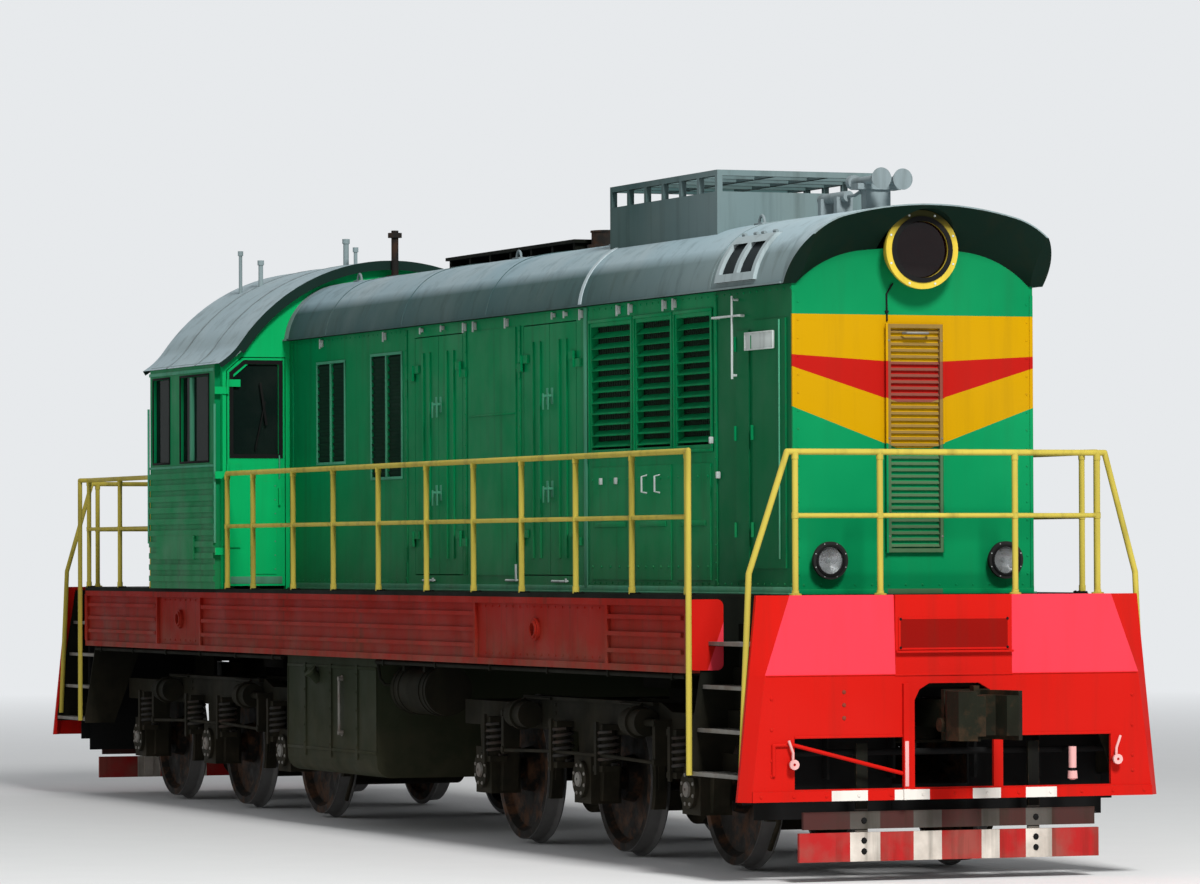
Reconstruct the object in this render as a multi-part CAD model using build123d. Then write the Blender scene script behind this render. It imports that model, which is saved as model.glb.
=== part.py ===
"""Six-axle hood-type diesel shunting locomotive, modelled in millimetres.

+X points to the long hood's end, +Y to the left, +Z up.  The origin is on the
centreline, midway between the couplers, at the height of the wheel flanges' lowest point.
Every piece that both ends or both sides have is made once and turned or mirrored.
"""

from build123d import *

import math
import os

# Overall sizes
COUPLER_REACH = 8610
APRON_X = 8000
FLANGE_DEPTH = 28
SEAT_GAP = 0.3
MOVE_GAP = 8

# Underframe
DECK_Z = 1868
DECK_PLATE = 30
DECK_HALF = 1480
WELL_X = 7000
PLATFORM_HALF = 900
SILL_BOTTOM = 1350
SILL_INNER = 1180
SILL_FACE = 1455
RIB_DEPTH = 25
BEAM_INNER = 400
BEAM_OUTER = 600
BEAM_BOTTOM = 1290
DECK_UNDER = DECK_Z - DECK_PLATE

# Bogies and wheels
BOGIE_X = 4330
AXLE_PITCH = 2000
WHEEL_RADIUS = 525
WHEEL_BACK = 720
TYRE_WIDTH = 140
AXLE_RADIUS = 95
JOURNAL_RADIUS = 80
JOURNAL_END = 1130
AXLE_Z = WHEEL_RADIUS + FLANGE_DEPTH
BOGIE_HALF = 2580
SIDE_FRAME_Y = 1040
SIDE_FRAME_THICK = 120
SIDE_FRAME_TOP = 1120
SIDE_FRAME_UNDER = 880
PIVOT_RADIUS = 100
PIVOT_PLATE_TOP = 1190

# Couplers
COUPLER_Z = 1088
COUPLER_PIN_X = 7300
COUPLER_PIN_RADIUS = 40
SHANK_HALF = 80

# Hood
HOOD_HALF = 880
HOOD_WALL = 50
HOOD_FACE_X = 7387
EAVE_HALF = 930
EAVE_Z = 3922
HOOD_TOP = 4446
ROOF_SHEET = 40
ROOF_FLANGE = 24
CROWN_RADIUS = 2400
HOOD_CROWN_HALF = 520
FACE_TOP = 4167
VISOR_REACH = 310
VISOR_FLARE = 95
GUTTER = 14
SECTION_X = {"cab": -3040, "engine": -150, "cooler": 3686, "front": 6101}

# Cab
CAB_FRONT_X = -3040
CAB_REAR_X = -4966
CAB_HALF = 1530
CAB_WALL = 60
CAB_EAVE_Z = 3730
CAB_TOP = 4602
CAB_CROWN_HALF = 1340
CAB_CROWN_RADIUS = 1640
CAB_ROOF_SHEET = 50
CAB_OVERHANG = 105
CAB_CORRUGATION = 15

# Lamps
SEARCHLIGHT_Z = 4150
SEARCHLIGHT_RADIUS = 262

# Rails of the walkway
RAIL_RADIUS = 20
RAIL_Y = 1455
RAIL_TOP_Z = 2820
RAIL_MID_Z = 2385


def span(x, y, z):
    """A block between two bounds on each axis."""
    size = [pair[1] - pair[0] for pair in (x, y, z)]
    centre = [(pair[0] + pair[1]) / 2 for pair in (x, y, z)]
    return Pos(*centre) * Box(*size)


def rod(start, end, radius):
    """A round bar from one point to another."""
    start = Vector(*start)
    end = Vector(*end)
    plane = Plane(origin=(start + end) * 0.5, z_dir=end - start)
    return plane * Cylinder(radius, (end - start).length)


def pipe(points, radius):
    """A round bar along straight runs, with a ball in each bend."""
    solid = rod(points[0], points[1], radius)
    for here, there in zip(points[1:-1], points[2:]):
        solid += Pos(*here) * Sphere(radius)
        solid += rod(here, there, radius)
    return solid


def side_plate(outline, y_low, y_high):
    """A plate with its outline given as (x, z) points, from one y to another."""
    face = make_face(Polyline(*outline, close=True))
    # Plane.XZ looks along -Y, so the plate is drawn at its high side.
    plane = Plane(origin=(0, y_high, 0), x_dir=(1, 0, 0), z_dir=(0, -1, 0))
    return extrude(plane * face, amount=y_high - y_low, dir=(0, -1, 0))


def cross_plate(outline, x_low, x_high):
    """A plate with its outline given as (y, z) points, from one x to another."""
    face = make_face(Polyline(*outline, close=True))
    plane = Plane(origin=(x_low, 0, 0), x_dir=(0, 1, 0), z_dir=(1, 0, 0))
    return extrude(plane * face, amount=x_high - x_low, dir=(1, 0, 0))


def flat_plate(outline, z_low, z_high):
    """A plate with its outline given as (x, y) points, from one height to another."""
    face = make_face(Polyline(*outline, close=True))
    return extrude(Plane.XY.offset(z_low) * face, amount=z_high - z_low, dir=(0, 0, 1))


def mirrored(solid):
    """The same piece on the other side of the centreline."""
    return mirror(solid, about=Plane.XZ)


def turned(solid):
    """The same piece at the other end."""
    return Rot(0, 0, 180) * solid


def both_sides(solid):
    return [solid, mirrored(solid)]


def both_ends(solids):
    return solids + [turned(solid) for solid in solids]


def arch(half, eave_z, top_z, crown_half, crown_radius, floor_z):
    """A face with a flat-arched top: a wide crown arc that runs into two shoulder arcs."""
    lean = math.asin(crown_half / crown_radius)
    knee_z = top_z - crown_radius * (1 - math.cos(lean))
    crown = ThreePointArc((-crown_half, knee_z), (0, top_z), (crown_half, knee_z))
    right = TangentArc((crown_half, knee_z), (half, eave_z), tangent=(math.cos(lean), -math.sin(lean)))
    left = TangentArc((-crown_half, knee_z), (-half, eave_z), tangent=(-math.cos(lean), -math.sin(lean)))
    base = [(half, floor_z), (-half, floor_z)]
    if floor_z < eave_z:
        base = [(half, eave_z)] + base + [(-half, eave_z)]
    return Face(Wire([crown, right, *Polyline(*base).edges(), left]))


def arch_prism(x_low, x_high, **sizes):
    """An arched face drawn out along X."""
    plane = Plane(origin=(x_low, 0, 0), x_dir=(0, 1, 0), z_dir=(1, 0, 0))
    return extrude(plane * arch(**sizes), amount=x_high - x_low, dir=(1, 0, 0))


def hood_arch(inset, floor_z=EAVE_Z):
    """Sizes of the hood roof's arch, moved inwards by an inset."""
    return {
        "half": EAVE_HALF - inset,
        "eave_z": EAVE_Z,
        "top_z": HOOD_TOP - inset,
        "crown_half": HOOD_CROWN_HALF * (CROWN_RADIUS - inset) / CROWN_RADIUS,
        "crown_radius": CROWN_RADIUS - inset,
        "floor_z": floor_z,
    }


def cab_arch(inset, floor_z=CAB_EAVE_Z):
    """Sizes of the cab roof's arch, moved inwards by an inset."""
    return {
        "half": CAB_HALF - inset,
        "eave_z": CAB_EAVE_Z,
        "top_z": CAB_TOP - inset,
        "crown_half": CAB_CROWN_HALF * (CAB_CROWN_RADIUS - inset) / CAB_CROWN_RADIUS,
        "crown_radius": CAB_CROWN_RADIUS - inset,
        "floor_z": floor_z,
    }


HINGE_OUT = 18
HINGE_RADIUS = 12
HINGE_STRAP = 110
HINGE_HEIGHT = 60


def hinges(heights, moving):
    """Knuckles and straps at each height, for a leaf that lies along +X and opens to -Y.

    The pin's axis is at x 0, ahead of the leaf's face.  The fixed strap lies to -X, and the
    moving one to +X just above it.
    """
    solid = None
    for z in heights:
        low = z + HINGE_HEIGHT + SEAT_GAP if moving else z
        x = (MOVE_GAP, HINGE_STRAP) if moving else (-HINGE_STRAP, -MOVE_GAP)
        knuckle = Pos(0, -HINGE_OUT, low + HINGE_HEIGHT / 2) * Cylinder(HINGE_RADIUS, HINGE_HEIGHT)
        piece = knuckle + span(x, (-HINGE_OUT, 0), (low, low + HINGE_HEIGHT))
        solid = piece if solid is None else solid + piece
    return solid


def make_main_frame():
    """Deck plate, two long beams, cross beams, bogie bolsters and coupler pockets."""
    deck = span((-WELL_X, WELL_X), (-DECK_HALF, DECK_HALF), (DECK_UNDER, DECK_Z))
    end_deck = span((-APRON_X + 50, APRON_X - 50), (-PLATFORM_HALF, PLATFORM_HALF), (DECK_UNDER, DECK_Z))
    frame = deck + end_deck
    for end in (-1, 1):
        ledge = sorted((end * (APRON_X - 100), end * (APRON_X - 50)))
        frame += span(ledge, (-1140, 1140), (DECK_UNDER, DECK_Z))
        head = sorted((end * (APRON_X - 350), end * (APRON_X - 50)))
        frame += span(head, (-PLATFORM_HALF, PLATFORM_HALF), (SILL_BOTTOM, DECK_UNDER))
        pocket = sorted((end * (WELL_X + 60), end * (APRON_X - 150)))
        for side in (-1, 1):
            cheek = sorted((side * 230, side * 262))
            frame += span(pocket, cheek, (900, BEAM_BOTTOM))
        frame += span(pocket, (-262, 262), (BEAM_BOTTOM - 30, BEAM_BOTTOM))
        pin = Cylinder(COUPLER_PIN_RADIUS, BEAM_BOTTOM - 900)
        frame += Pos(end * COUPLER_PIN_X, 0, (900 + BEAM_BOTTOM) / 2) * pin
        ledge = sorted((end * (COUPLER_PIN_X - 90), end * (COUPLER_PIN_X + 90)))
        frame += span(ledge, (-262, 262), (880, 900))
    for side in (-1, 1):
        beam = sorted((side * BEAM_INNER, side * BEAM_OUTER))
        frame += span((-APRON_X + 60, APRON_X - 60), beam, (BEAM_BOTTOM, DECK_UNDER))
    for x in (100 - COUPLER_PIN_X, COUPLER_PIN_X - 100):
        frame += span((x - 60, x + 60), (-BEAM_INNER, BEAM_INNER), (BEAM_BOTTOM, DECK_UNDER))
    for x in (-6400, -2200, -900, 400, 1700, 6400):
        frame += span((x - 60, x + 60), (-SILL_INNER, SILL_INNER), (SILL_BOTTOM + 100, DECK_UNDER))
    for x in (-BOGIE_X, BOGIE_X):
        frame += span((x - 300, x + 300), (-SILL_INNER, SILL_INNER), (SILL_BOTTOM + 10, DECK_UNDER))
        pad_z = (PIVOT_PLATE_TOP + SEAT_GAP, SILL_BOTTOM + 10)
        frame += span((x - 260, x + 260), (-BEAM_OUTER, BEAM_OUTER), pad_z)
        frame += Pos(x, 0, 1160) * Cylinder(PIVOT_RADIUS, 100)
    return [frame]


def make_side_sills():
    """Box sills under the deck's edges, with pressed ribs and a lifting boss near each bogie."""
    sill = span((-WELL_X, WELL_X), (SILL_INNER, SILL_FACE), (SILL_BOTTOM, DECK_UNDER))
    edge_height = 45
    rib_face = (SILL_FACE, SILL_FACE + RIB_DEPTH)
    # x low, x high of the ribbed stretches, as seen on the side with the boss panels
    stretches = [(-6900, -4900), (-3600, 2940), (5580, 6900)]
    for z in (SILL_BOTTOM, DECK_UNDER - edge_height):
        sill += span((-WELL_X, WELL_X), rib_face, (z, z + edge_height))
    for x_low, x_high in stretches:
        for z in (1470, 1585, 1700):
            sill += span((x_low, x_high), rib_face, (z, z + 30))
    for x in (-6980, -4860, -3640, 2960, 5560, 6980):
        sill += span((x - 20, x + 20), rib_face, (SILL_BOTTOM + edge_height, DECK_UNDER - edge_height))
    for x in (-4237, 4166):
        boss = Pos(x, SILL_FACE + RIB_DEPTH / 2, 1610) * Rot(90, 0, 0) * Cylinder(80, RIB_DEPTH)
        bore = Pos(x, SILL_FACE + RIB_DEPTH / 2, 1610) * Rot(90, 0, 0) * Cylinder(45, RIB_DEPTH)
        sill = sill + boss - bore
    return both_sides(sill)


# Plan of the apron at three heights: height, half-width at the bend, half-width at the edge, front face x
APRON_LEVELS = [
    (533, 1446, 1513, APRON_X),
    (1350, 1346, 1428, APRON_X),
    (DECK_Z, 1160, 1375, APRON_X - 25),
]
APRON_SHEET = 25
WING_X = APRON_X - 70
APRON_BACK = APRON_X - 100


def apron_section(level, inset):
    """The apron's plan at one level, moved back and in by an inset."""
    z, bend, edge, front = level
    outline = [
        (APRON_BACK, -edge + inset),
        (WING_X - inset, -edge + inset),
        (front - inset, -bend + inset * 0.6),
        (front - inset, bend - inset * 0.6),
        (WING_X - inset, edge - inset),
        (APRON_BACK, edge - inset),
    ]
    return Plane.XY.offset(z) * make_face(Polyline(*outline, close=True))


def make_apron():
    """Bent end plate with its raised middle panel, blank number plate and three openings."""
    solids = []
    for inset in (0, APRON_SHEET):
        foot, bend, top = [apron_section(level, inset) for level in APRON_LEVELS]
        solids.append(loft([foot, bend], ruled=True) + loft([bend, top], ruled=True))
    apron = solids[0] - solids[1]
    apron += span((APRON_X - 25, APRON_X), (-420, 420), (1350, DECK_Z))
    apron += span((APRON_X, APRON_X + 8), (-400, 400), (1509, 1722))
    apron += span((APRON_X, APRON_X + 30), (-420, 420), (1490, 1504))
    apron += span((APRON_X, APRON_X + 12), (-1440, 1440), (533, 600))
    for low, high in ((-1140, -352), (352, 1140)):
        apron -= span((APRON_X - 60, APRON_X + 40), (low, high), (610, 941))
    mouth = [
        (-285, 612),
        (285, 612),
        (285, 1180),
        (250, 1250),
        (180, 1290),
        (-180, 1290),
        (-250, 1250),
        (-285, 1180),
    ]
    apron -= cross_plate(mouth, APRON_X - 60, APRON_X + 40)
    # Upright bar beside the left opening, and the uncoupling rod with its crank and brackets
    apron += span((APRON_X, APRON_X + 30), (-375, -335), (533, 1290))
    rod_x = APRON_X + 6
    apron += pipe([(rod_x, -1290, 700), (rod_x, -1290, 900), (rod_x, -1150, 900), (rod_x, -355, 700)], 13)
    for y in (-1165, 1165):
        apron += Pos(APRON_X + 20, y, 775) * Rot(0, 90, 0) * Cylinder(28, 60)
    return apron


def make_rail_guard():
    """Two boards across the track, hung from the apron's foot on two straps."""
    x = (APRON_X - 95, APRON_X - 65)
    guard = span(x, (-1050, 1050), (346, 460)) + span(x, (-1080, 1080), (135, 324))
    for y in (-620, 620):
        guard += span((APRON_X - 120, APRON_X - 95), (y - 40, y + 40), (150, 900))
        guard += span((APRON_X - 120, APRON_X - 25 - SEAT_GAP), (y - 40, y + 40), (560, 600))
    return guard


STEP_TREADS = [
    # height of the tread, outer edge, depth
    (700, 1480, 260),
    (985, 1410, 230),
    (1270, 1370, 230),
    (1555, 1330, 230),
]
STEP_OUTER_X = APRON_X - 105


def make_stair():
    """Four treads between two raked side plates in one corner's stair well."""
    outline = [(900, 1500), (900, DECK_UNDER), (1310, DECK_UNDER), (1480, 720), (1480, 660), (1210, 660)]
    stair = cross_plate(outline, WELL_X + SEAT_GAP, WELL_X + 14)
    stair += cross_plate(outline, STEP_OUTER_X - 14, STEP_OUTER_X)
    for z, outer, depth in STEP_TREADS:
        stair += span((WELL_X + 14, STEP_OUTER_X - 14), (outer - depth, outer), (z - 25, z))
        stair += span((WELL_X + 14, STEP_OUTER_X - 14), (outer - depth, outer - depth + 10), (z, z + 120))
    return stair


# Posts of the side railing ahead of the cab and behind it, from the cab outwards
FRONT_POST_X = [CAB_FRONT_X + 90, -2268, -1243, -258, 802, 1882, 2892, 3878, 4936, 5980, WELL_X - 40]
REAR_POST_X = [CAB_REAR_X - 94, -6010, 40 - WELL_X]


def make_side_railing(post_x):
    """Walkway railing on one side, whose top rail bends down as the stair's handrail."""
    first = post_x[0]
    last = post_x[-1]
    outward = 1 if last > first else -1
    grip_x = last + outward * 130
    grip_y = STEP_TREADS[0][1] + RAIL_RADIUS + SEAT_GAP
    points = [
        (first, RAIL_Y, RAIL_TOP_Z),
        (last, RAIL_Y, RAIL_TOP_Z),
        (grip_x, grip_y, RAIL_TOP_Z),
        (grip_x, grip_y, STEP_TREADS[0][0] - 20),
    ]
    rail = pipe(points, RAIL_RADIUS) + Pos(*points[0]) * Sphere(RAIL_RADIUS)
    rail += rod((first, RAIL_Y, RAIL_MID_Z), (last, RAIL_Y, RAIL_MID_Z), RAIL_RADIUS * 0.8)
    for x in post_x:
        rail += rod((x, RAIL_Y, DECK_Z), (x, RAIL_Y, RAIL_TOP_Z), RAIL_RADIUS)
    return rail


def make_end_railing():
    """Railing across one end, with a raked handrail down each stair."""
    x = STEP_OUTER_X + RAIL_RADIUS + SEAT_GAP
    grip_x = STEP_OUTER_X - 14 - RAIL_RADIUS - SEAT_GAP
    top = 2800
    rail = rod((x, -1148, top), (x, 1148, top), RAIL_RADIUS)
    rail += rod((x, -1092, RAIL_MID_Z), (x, 1092, RAIL_MID_Z), RAIL_RADIUS * 0.8)
    for y in (-1092, -488, 488, 1092):
        rail += rod((x, y, DECK_Z), (x, y, top), RAIL_RADIUS)
    for side in (-1, 1):
        points = [(x, side * 1148, top), (grip_x, side * 1398, 2007), (grip_x, side * 1453, 730)]
        rail += pipe(points, RAIL_RADIUS)
        rail += Pos(x, side * 1148, top) * Sphere(RAIL_RADIUS)
    return rail


def hood_walls(x_low, x_high):
    """Two side walls of one hood section."""
    wall = span((x_low, x_high), (HOOD_HALF - HOOD_WALL, HOOD_HALF), (DECK_Z, EAVE_Z))
    return wall + mirrored(wall)


def bulkhead(x_low, x_high):
    """Cross wall that ties the two side walls."""
    inner = HOOD_HALF - HOOD_WALL
    return span((x_low, x_high), (-inner, inner), (DECK_Z, EAVE_Z))


# Two glazed vents in the control section: x low, x high, z low, z high
CONTROL_VENTS = [(-2310, -1638, 2900, 3700), (-974, -268, 2760, 3720)]
VENT_RECESS = 20


def make_hood_control():
    """Section ahead of the cab, with two tall vents in each side."""
    section = hood_walls(SECTION_X["cab"], SECTION_X["engine"])
    section += bulkhead(SECTION_X["engine"] - 30, SECTION_X["engine"])
    for x_low, x_high, z_low, z_high in CONTROL_VENTS:
        middle = (x_low + x_high) / 2
        for side in (-1, 1):
            y = sorted((side * (HOOD_HALF - VENT_RECESS), side * (HOOD_HALF + 1)))
            for pane in ((x_low, middle - 30), (middle + 30, x_high)):
                section -= span(pane, y, (z_low, z_high))
    return section


DOOR_BOTTOM = 1985
DOOR_TOP = 3835
DOOR_LEAF = 525
DOOR_HINGE_Z = (DOOR_BOTTOM + 220, DOOR_TOP - 340)
# Low edge of each pair of engine doors
DOOR_PAIRS_X = {"aft": 40, "fore": 2420}


def door_pair_width():
    return 2 * DOOR_LEAF + 3 * MOVE_GAP


def make_hood_engine():
    """Section over the diesel engine, with two pairs of side doors on each side."""
    section = hood_walls(SECTION_X["engine"], SECTION_X["cooler"])
    section += bulkhead(SECTION_X["cooler"] - 30, SECTION_X["cooler"])
    for x in DOOR_PAIRS_X.values():
        section -= span((x, x + door_pair_width()), (-HOOD_HALF - 1, HOOD_HALF + 1), (DOOR_BOTTOM, DOOR_TOP))
    panel = (DOOR_PAIRS_X["aft"] + door_pair_width() + 150, DOOR_PAIRS_X["fore"] - 150)
    for side in (-1, 1):
        y = sorted((side * HOOD_HALF, side * (HOOD_HALF + 8)))
        section += span(panel, y, (DOOR_BOTTOM, DOOR_TOP))
    for _, x, flipped in engine_door_places():
        fixed = place_hinges(x, flipped, moving=False)
        section += fixed + mirrored(fixed)
    return section


def engine_door_places():
    """Name, hinge x and whether the leaf lies behind its hinge, for one side's leaves."""
    places = []
    for name, x in DOOR_PAIRS_X.items():
        places.append((f"{name}_1", x + MOVE_GAP, False))
        places.append((f"{name}_2", x + 2 * MOVE_GAP + 2 * DOOR_LEAF, True))
    return places


def place_hinges(x, flipped, moving):
    """The hinges of one leaf on the right-hand side."""
    solid = hinges(DOOR_HINGE_Z, moving)
    if flipped:
        solid = mirror(solid, about=Plane.YZ)
    return Pos(x, -HOOD_HALF, 0) * solid


def make_engine_door(x, flipped):
    """One leaf of the right-hand side's doors, with pressed ribs and its hinge straps."""
    y_out = -HOOD_HALF
    x_low = x - DOOR_LEAF if flipped else x
    z = (DOOR_BOTTOM + MOVE_GAP, DOOR_TOP - MOVE_GAP)
    leaf = span((x_low, x_low + DOOR_LEAF), (y_out, y_out + HOOD_WALL), z)
    for rib in (x_low + DOOR_LEAF * 0.36, x_low + DOOR_LEAF * 0.64):
        leaf += span((rib - 20, rib + 20), (y_out - 12, y_out), (z[0] + 120, z[1] - 120))
    return leaf + place_hinges(x, flipped, moving=True)


def engine_doors():
    """Every leaf by its name, on both sides."""
    leaves = {}
    for name, x, flipped in engine_door_places():
        leaf = make_engine_door(x, flipped)
        leaves[f"engine_door_{name}_right"] = [leaf]
        leaves[f"engine_door_{name}_left"] = [mirrored(leaf)]
    return leaves


# Columns of the radiator shutters: x low, x high
SHUTTER_COLUMNS = [(3770, 4575), (4635, 5316), (5376, 6030)]
SHUTTER_Z = (2857, 3798)
FAN_X = 4893
FAN_SHAFT_RADIUS = 35
FAN_BEAM_Z = (3815, 3905)
FAN_HOLE_RADIUS = 620
FAN_CURB_X = (3560, 5560)

# Fittings along the roof's ridge
EXHAUST_X = 1900
EXHAUST_RADIUS = 110
ROOF_PLANK_X = (-1095, 1746)
VENT_X = -2900
VENT_TOP = 4830


def make_hood_cooler():
    """Section round the radiators, open at the shutters, with the fan's bearing beam."""
    section = hood_walls(SECTION_X["cooler"], SECTION_X["front"])
    section += bulkhead(SECTION_X["front"] - 30, SECTION_X["front"])
    for x in SHUTTER_COLUMNS:
        section -= span(x, (-HOOD_HALF - 1, HOOD_HALF + 1), SHUTTER_Z)
    inner = HOOD_HALF - HOOD_WALL
    section += span((FAN_X - 60, FAN_X + 60), (-inner, inner), FAN_BEAM_Z)
    section -= Pos(FAN_X, 0, sum(FAN_BEAM_Z) / 2) * Cylinder(FAN_SHAFT_RADIUS + SEAT_GAP, 200)
    # Framed access panels below the shutters: x low, x high
    for x_low, x_high in ((3790, 4550), (4660, 5300), (5400, 6010)):
        for side in (-1, 1):
            y = sorted((side * HOOD_HALF, side * (HOOD_HALF + 10)))
            section += span((x_low, x_high), y, (1960, 2760))
    return section


def make_shutters():
    """Three columns of tilted blades in frames, on each side."""
    solids = []
    blade_pitch = 78
    edge = 30
    for x_low, x_high in SHUTTER_COLUMNS:
        y = (HOOD_HALF - HOOD_WALL, HOOD_HALF + 6)
        outer = span((x_low, x_high), y, SHUTTER_Z)
        inner_z = (SHUTTER_Z[0] + edge, SHUTTER_Z[1] - edge)
        inner = span((x_low + edge, x_high - edge), (y[0] - 1, y[1] + 1), inner_z)
        column = outer - inner
        count = int((SHUTTER_Z[1] - SHUTTER_Z[0] - 2 * edge) / blade_pitch)
        for number in range(count):
            z = SHUTTER_Z[0] + edge + blade_pitch * (number + 0.5)
            blade = Box(x_high - x_low - 2 * edge, 62, 5)
            column += Pos((x_low + x_high) / 2, HOOD_HALF - 22, z) * Rot(-40, 0, 0) * blade
        solids += both_sides(column)
    return solids


def make_hood_front():
    """Front section with its arched face and the louvred panel down the middle of the face."""
    section = hood_walls(SECTION_X["front"], HOOD_FACE_X)
    section += arch_prism(HOOD_FACE_X - HOOD_WALL, HOOD_FACE_X, **face_arch(0, DECK_Z))
    frame_depth = 34
    panel_z = (2145, 3660)
    edge = 26
    outer = span((HOOD_FACE_X, HOOD_FACE_X + frame_depth), (-205, 205), panel_z)
    field = (panel_z[0] + edge, panel_z[1] - edge)
    section += outer - span((HOOD_FACE_X, HOOD_FACE_X + frame_depth), (edge - 205, 205 - edge), field)
    louvres = 35
    for number in range(louvres):
        z = field[0] + (field[1] - field[0]) * (number + 0.5) / louvres
        section += Pos(HOOD_FACE_X + 9, 0, z) * Rot(0, 50, 0) * Box(30, 2 * (205 - edge) + 8, 5)
    # Framed tall door in each side
    for side in (-1, 1):
        y = sorted((side * HOOD_HALF, side * (HOOD_HALF + 12)))
        section += span((6468, 6690), y, (1960, 3640))
        section += span((6760, 7300), y, (2040, 3700))
    lamp_bore = Rot(0, 90, 0) * Cylinder(SEARCHLIGHT_RADIUS * 0.8, 200)
    section -= Pos(HOOD_FACE_X - 25, 0, SEARCHLIGHT_Z) * lamp_bore
    return section


def roof_part(x_low, x_high):
    """Arched roof sheet with an inward flange and an outward gutter lip along each eave."""
    shell = arch_prism(x_low, x_high, **hood_arch(0))
    shell -= arch_prism(x_low - 1, x_high + 1, **hood_arch(ROOF_SHEET, EAVE_Z - 1))
    for side in (-1, 1):
        y = sorted((side * (HOOD_HALF - HOOD_WALL), side * (EAVE_HALF - ROOF_SHEET / 2)))
        shell += span((x_low, x_high), y, (EAVE_Z, EAVE_Z + ROOF_FLANGE))
        lip = sorted((side * (EAVE_HALF - ROOF_SHEET / 2), side * (EAVE_HALF + GUTTER)))
        shell += span((x_low, x_high), lip, (EAVE_Z, EAVE_Z + GUTTER))
    return shell


def face_arch(margin, floor_z):
    """Sizes of the hood face's arched outline, with a margin round it."""
    return {
        "half": 850 + margin,
        "eave_z": EAVE_Z,
        "top_z": FACE_TOP + margin,
        "crown_half": 380,
        "crown_radius": 3500,
        "floor_z": floor_z,
    }


def visor_lip(margin, floor_z):
    """Sizes of the visor's arch at its lip, moved inwards by a margin."""
    return {
        "half": EAVE_HALF + VISOR_FLARE - margin,
        "eave_z": EAVE_Z,
        "top_z": HOOD_TOP - margin,
        "crown_half": HOOD_CROWN_HALF + VISOR_FLARE,
        "crown_radius": CROWN_RADIUS,
        "floor_z": floor_z,
    }


# Two-pane hatch in each side of the roof's front: its edges along the hood and in height
ROOF_HATCH_X = (6230, 6897)
ROOF_HATCH_Z = (3971, 4288)
HATCH_PROUD = 26
HATCH_EDGE = 55


def roof_hatch(roof):
    """The roof with a raised frame round two sunk panes on each shoulder."""
    middle = sum(ROOF_HATCH_X) / 2
    low = ROOF_HATCH_X[0]
    high = ROOF_HATCH_X[1]
    panes = ((low + HATCH_EDGE, middle - HATCH_EDGE / 2), (middle + HATCH_EDGE / 2, high - HATCH_EDGE))
    for side in (-1, 1):
        y = sorted((side * HOOD_CROWN_HALF, side * (EAVE_HALF + 100)))
        pad = arch_prism(low, high, **hood_arch(-HATCH_PROUD))
        pad -= arch_prism(low, high, **hood_arch(ROOF_SHEET / 2))
        roof += pad & span(ROOF_HATCH_X, y, ROOF_HATCH_Z)
        for pane in panes:
            sunk = arch_prism(*pane, **hood_arch(-HATCH_PROUD - 5)) - arch_prism(*pane, **hood_arch(0))
            roof -= sunk & span(pane, y, (ROOF_HATCH_Z[0] + HATCH_EDGE, ROOF_HATCH_Z[1] - HATCH_EDGE))
    return roof


def make_roof_front():
    """Roof over radiators and front section, with the flared visor over the face."""
    roof = roof_part(SECTION_X["cooler"], HOOD_FACE_X - HOOD_WALL)
    reach = HOOD_FACE_X + VISOR_REACH
    floor_z = EAVE_Z - 10
    back = Plane(origin=(HOOD_FACE_X - HOOD_WALL, 0, 0), x_dir=(0, 1, 0), z_dir=(1, 0, 0))
    inner = Plane(origin=(HOOD_FACE_X, 0, 0), x_dir=(0, 1, 0), z_dir=(1, 0, 0))
    outer = Plane(origin=(reach, 0, 0), x_dir=(0, 1, 0), z_dir=(1, 0, 0))
    collar = loft([back * arch(**hood_arch(0)), outer * arch(**visor_lip(0, EAVE_Z))])
    # The face stands inside the collar, and the soffit flares from it to the visor's lip.
    face_hole = arch_prism(HOOD_FACE_X - HOOD_WALL - 1, HOOD_FACE_X + 0.5, **face_arch(SEAT_GAP, floor_z))
    flare = loft([inner * arch(**face_arch(SEAT_GAP, floor_z)), outer * arch(**visor_lip(6, floor_z))])
    # The lip runs forward and up from the hood's corner, and then straight over the crown.
    lip = side_plate(
        [
            (HOOD_FACE_X + 8, floor_z),
            (reach - 4, EAVE_Z + VISOR_REACH),
            (reach - 4, HOOD_TOP + 60),
            (reach + 100, HOOD_TOP + 60),
            (reach + 100, floor_z),
        ],
        -1200,
        1200,
    )
    lamp_hole = Rot(0, 90, 0) * Cylinder(SEARCHLIGHT_RADIUS + 5, 500)
    lamp_hole = Pos(HOOD_FACE_X + 200, 0, SEARCHLIGHT_Z) * lamp_hole
    roof += collar - face_hole - flare - lip - lamp_hole
    roof -= Pos(FAN_X, 0, HOOD_TOP) * Cylinder(FAN_HOLE_RADIUS, 400)
    return [roof_hatch(roof)]


def make_roof_rear():
    """Roof over the engine and the control section, with the engine's outlet cut."""
    roof = roof_part(CAB_FRONT_X, SECTION_X["cooler"])
    roof -= Pos(EXHAUST_X, 0, HOOD_TOP) * Cylinder(EXHAUST_RADIUS, 300)
    return [roof]


def make_roof_walkway():
    """Narrow plank along the roof's ridge on low feet."""
    plank = span(ROOF_PLANK_X, (-210, 210), (HOOD_TOP + 54, HOOD_TOP + 80))
    feet = 7
    for number in range(feet):
        x = ROOF_PLANK_X[0] + 60 + (ROOF_PLANK_X[1] - ROOF_PLANK_X[0] - 120) * number / (feet - 1)
        plank += span((x - 20, x + 20), (-190, 190), (HOOD_TOP - 40, HOOD_TOP + 60))
    return [plank - arch_prism(ROOF_PLANK_X[0] - 10, ROOF_PLANK_X[1] + 10, **hood_arch(-SEAT_GAP))]


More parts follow.
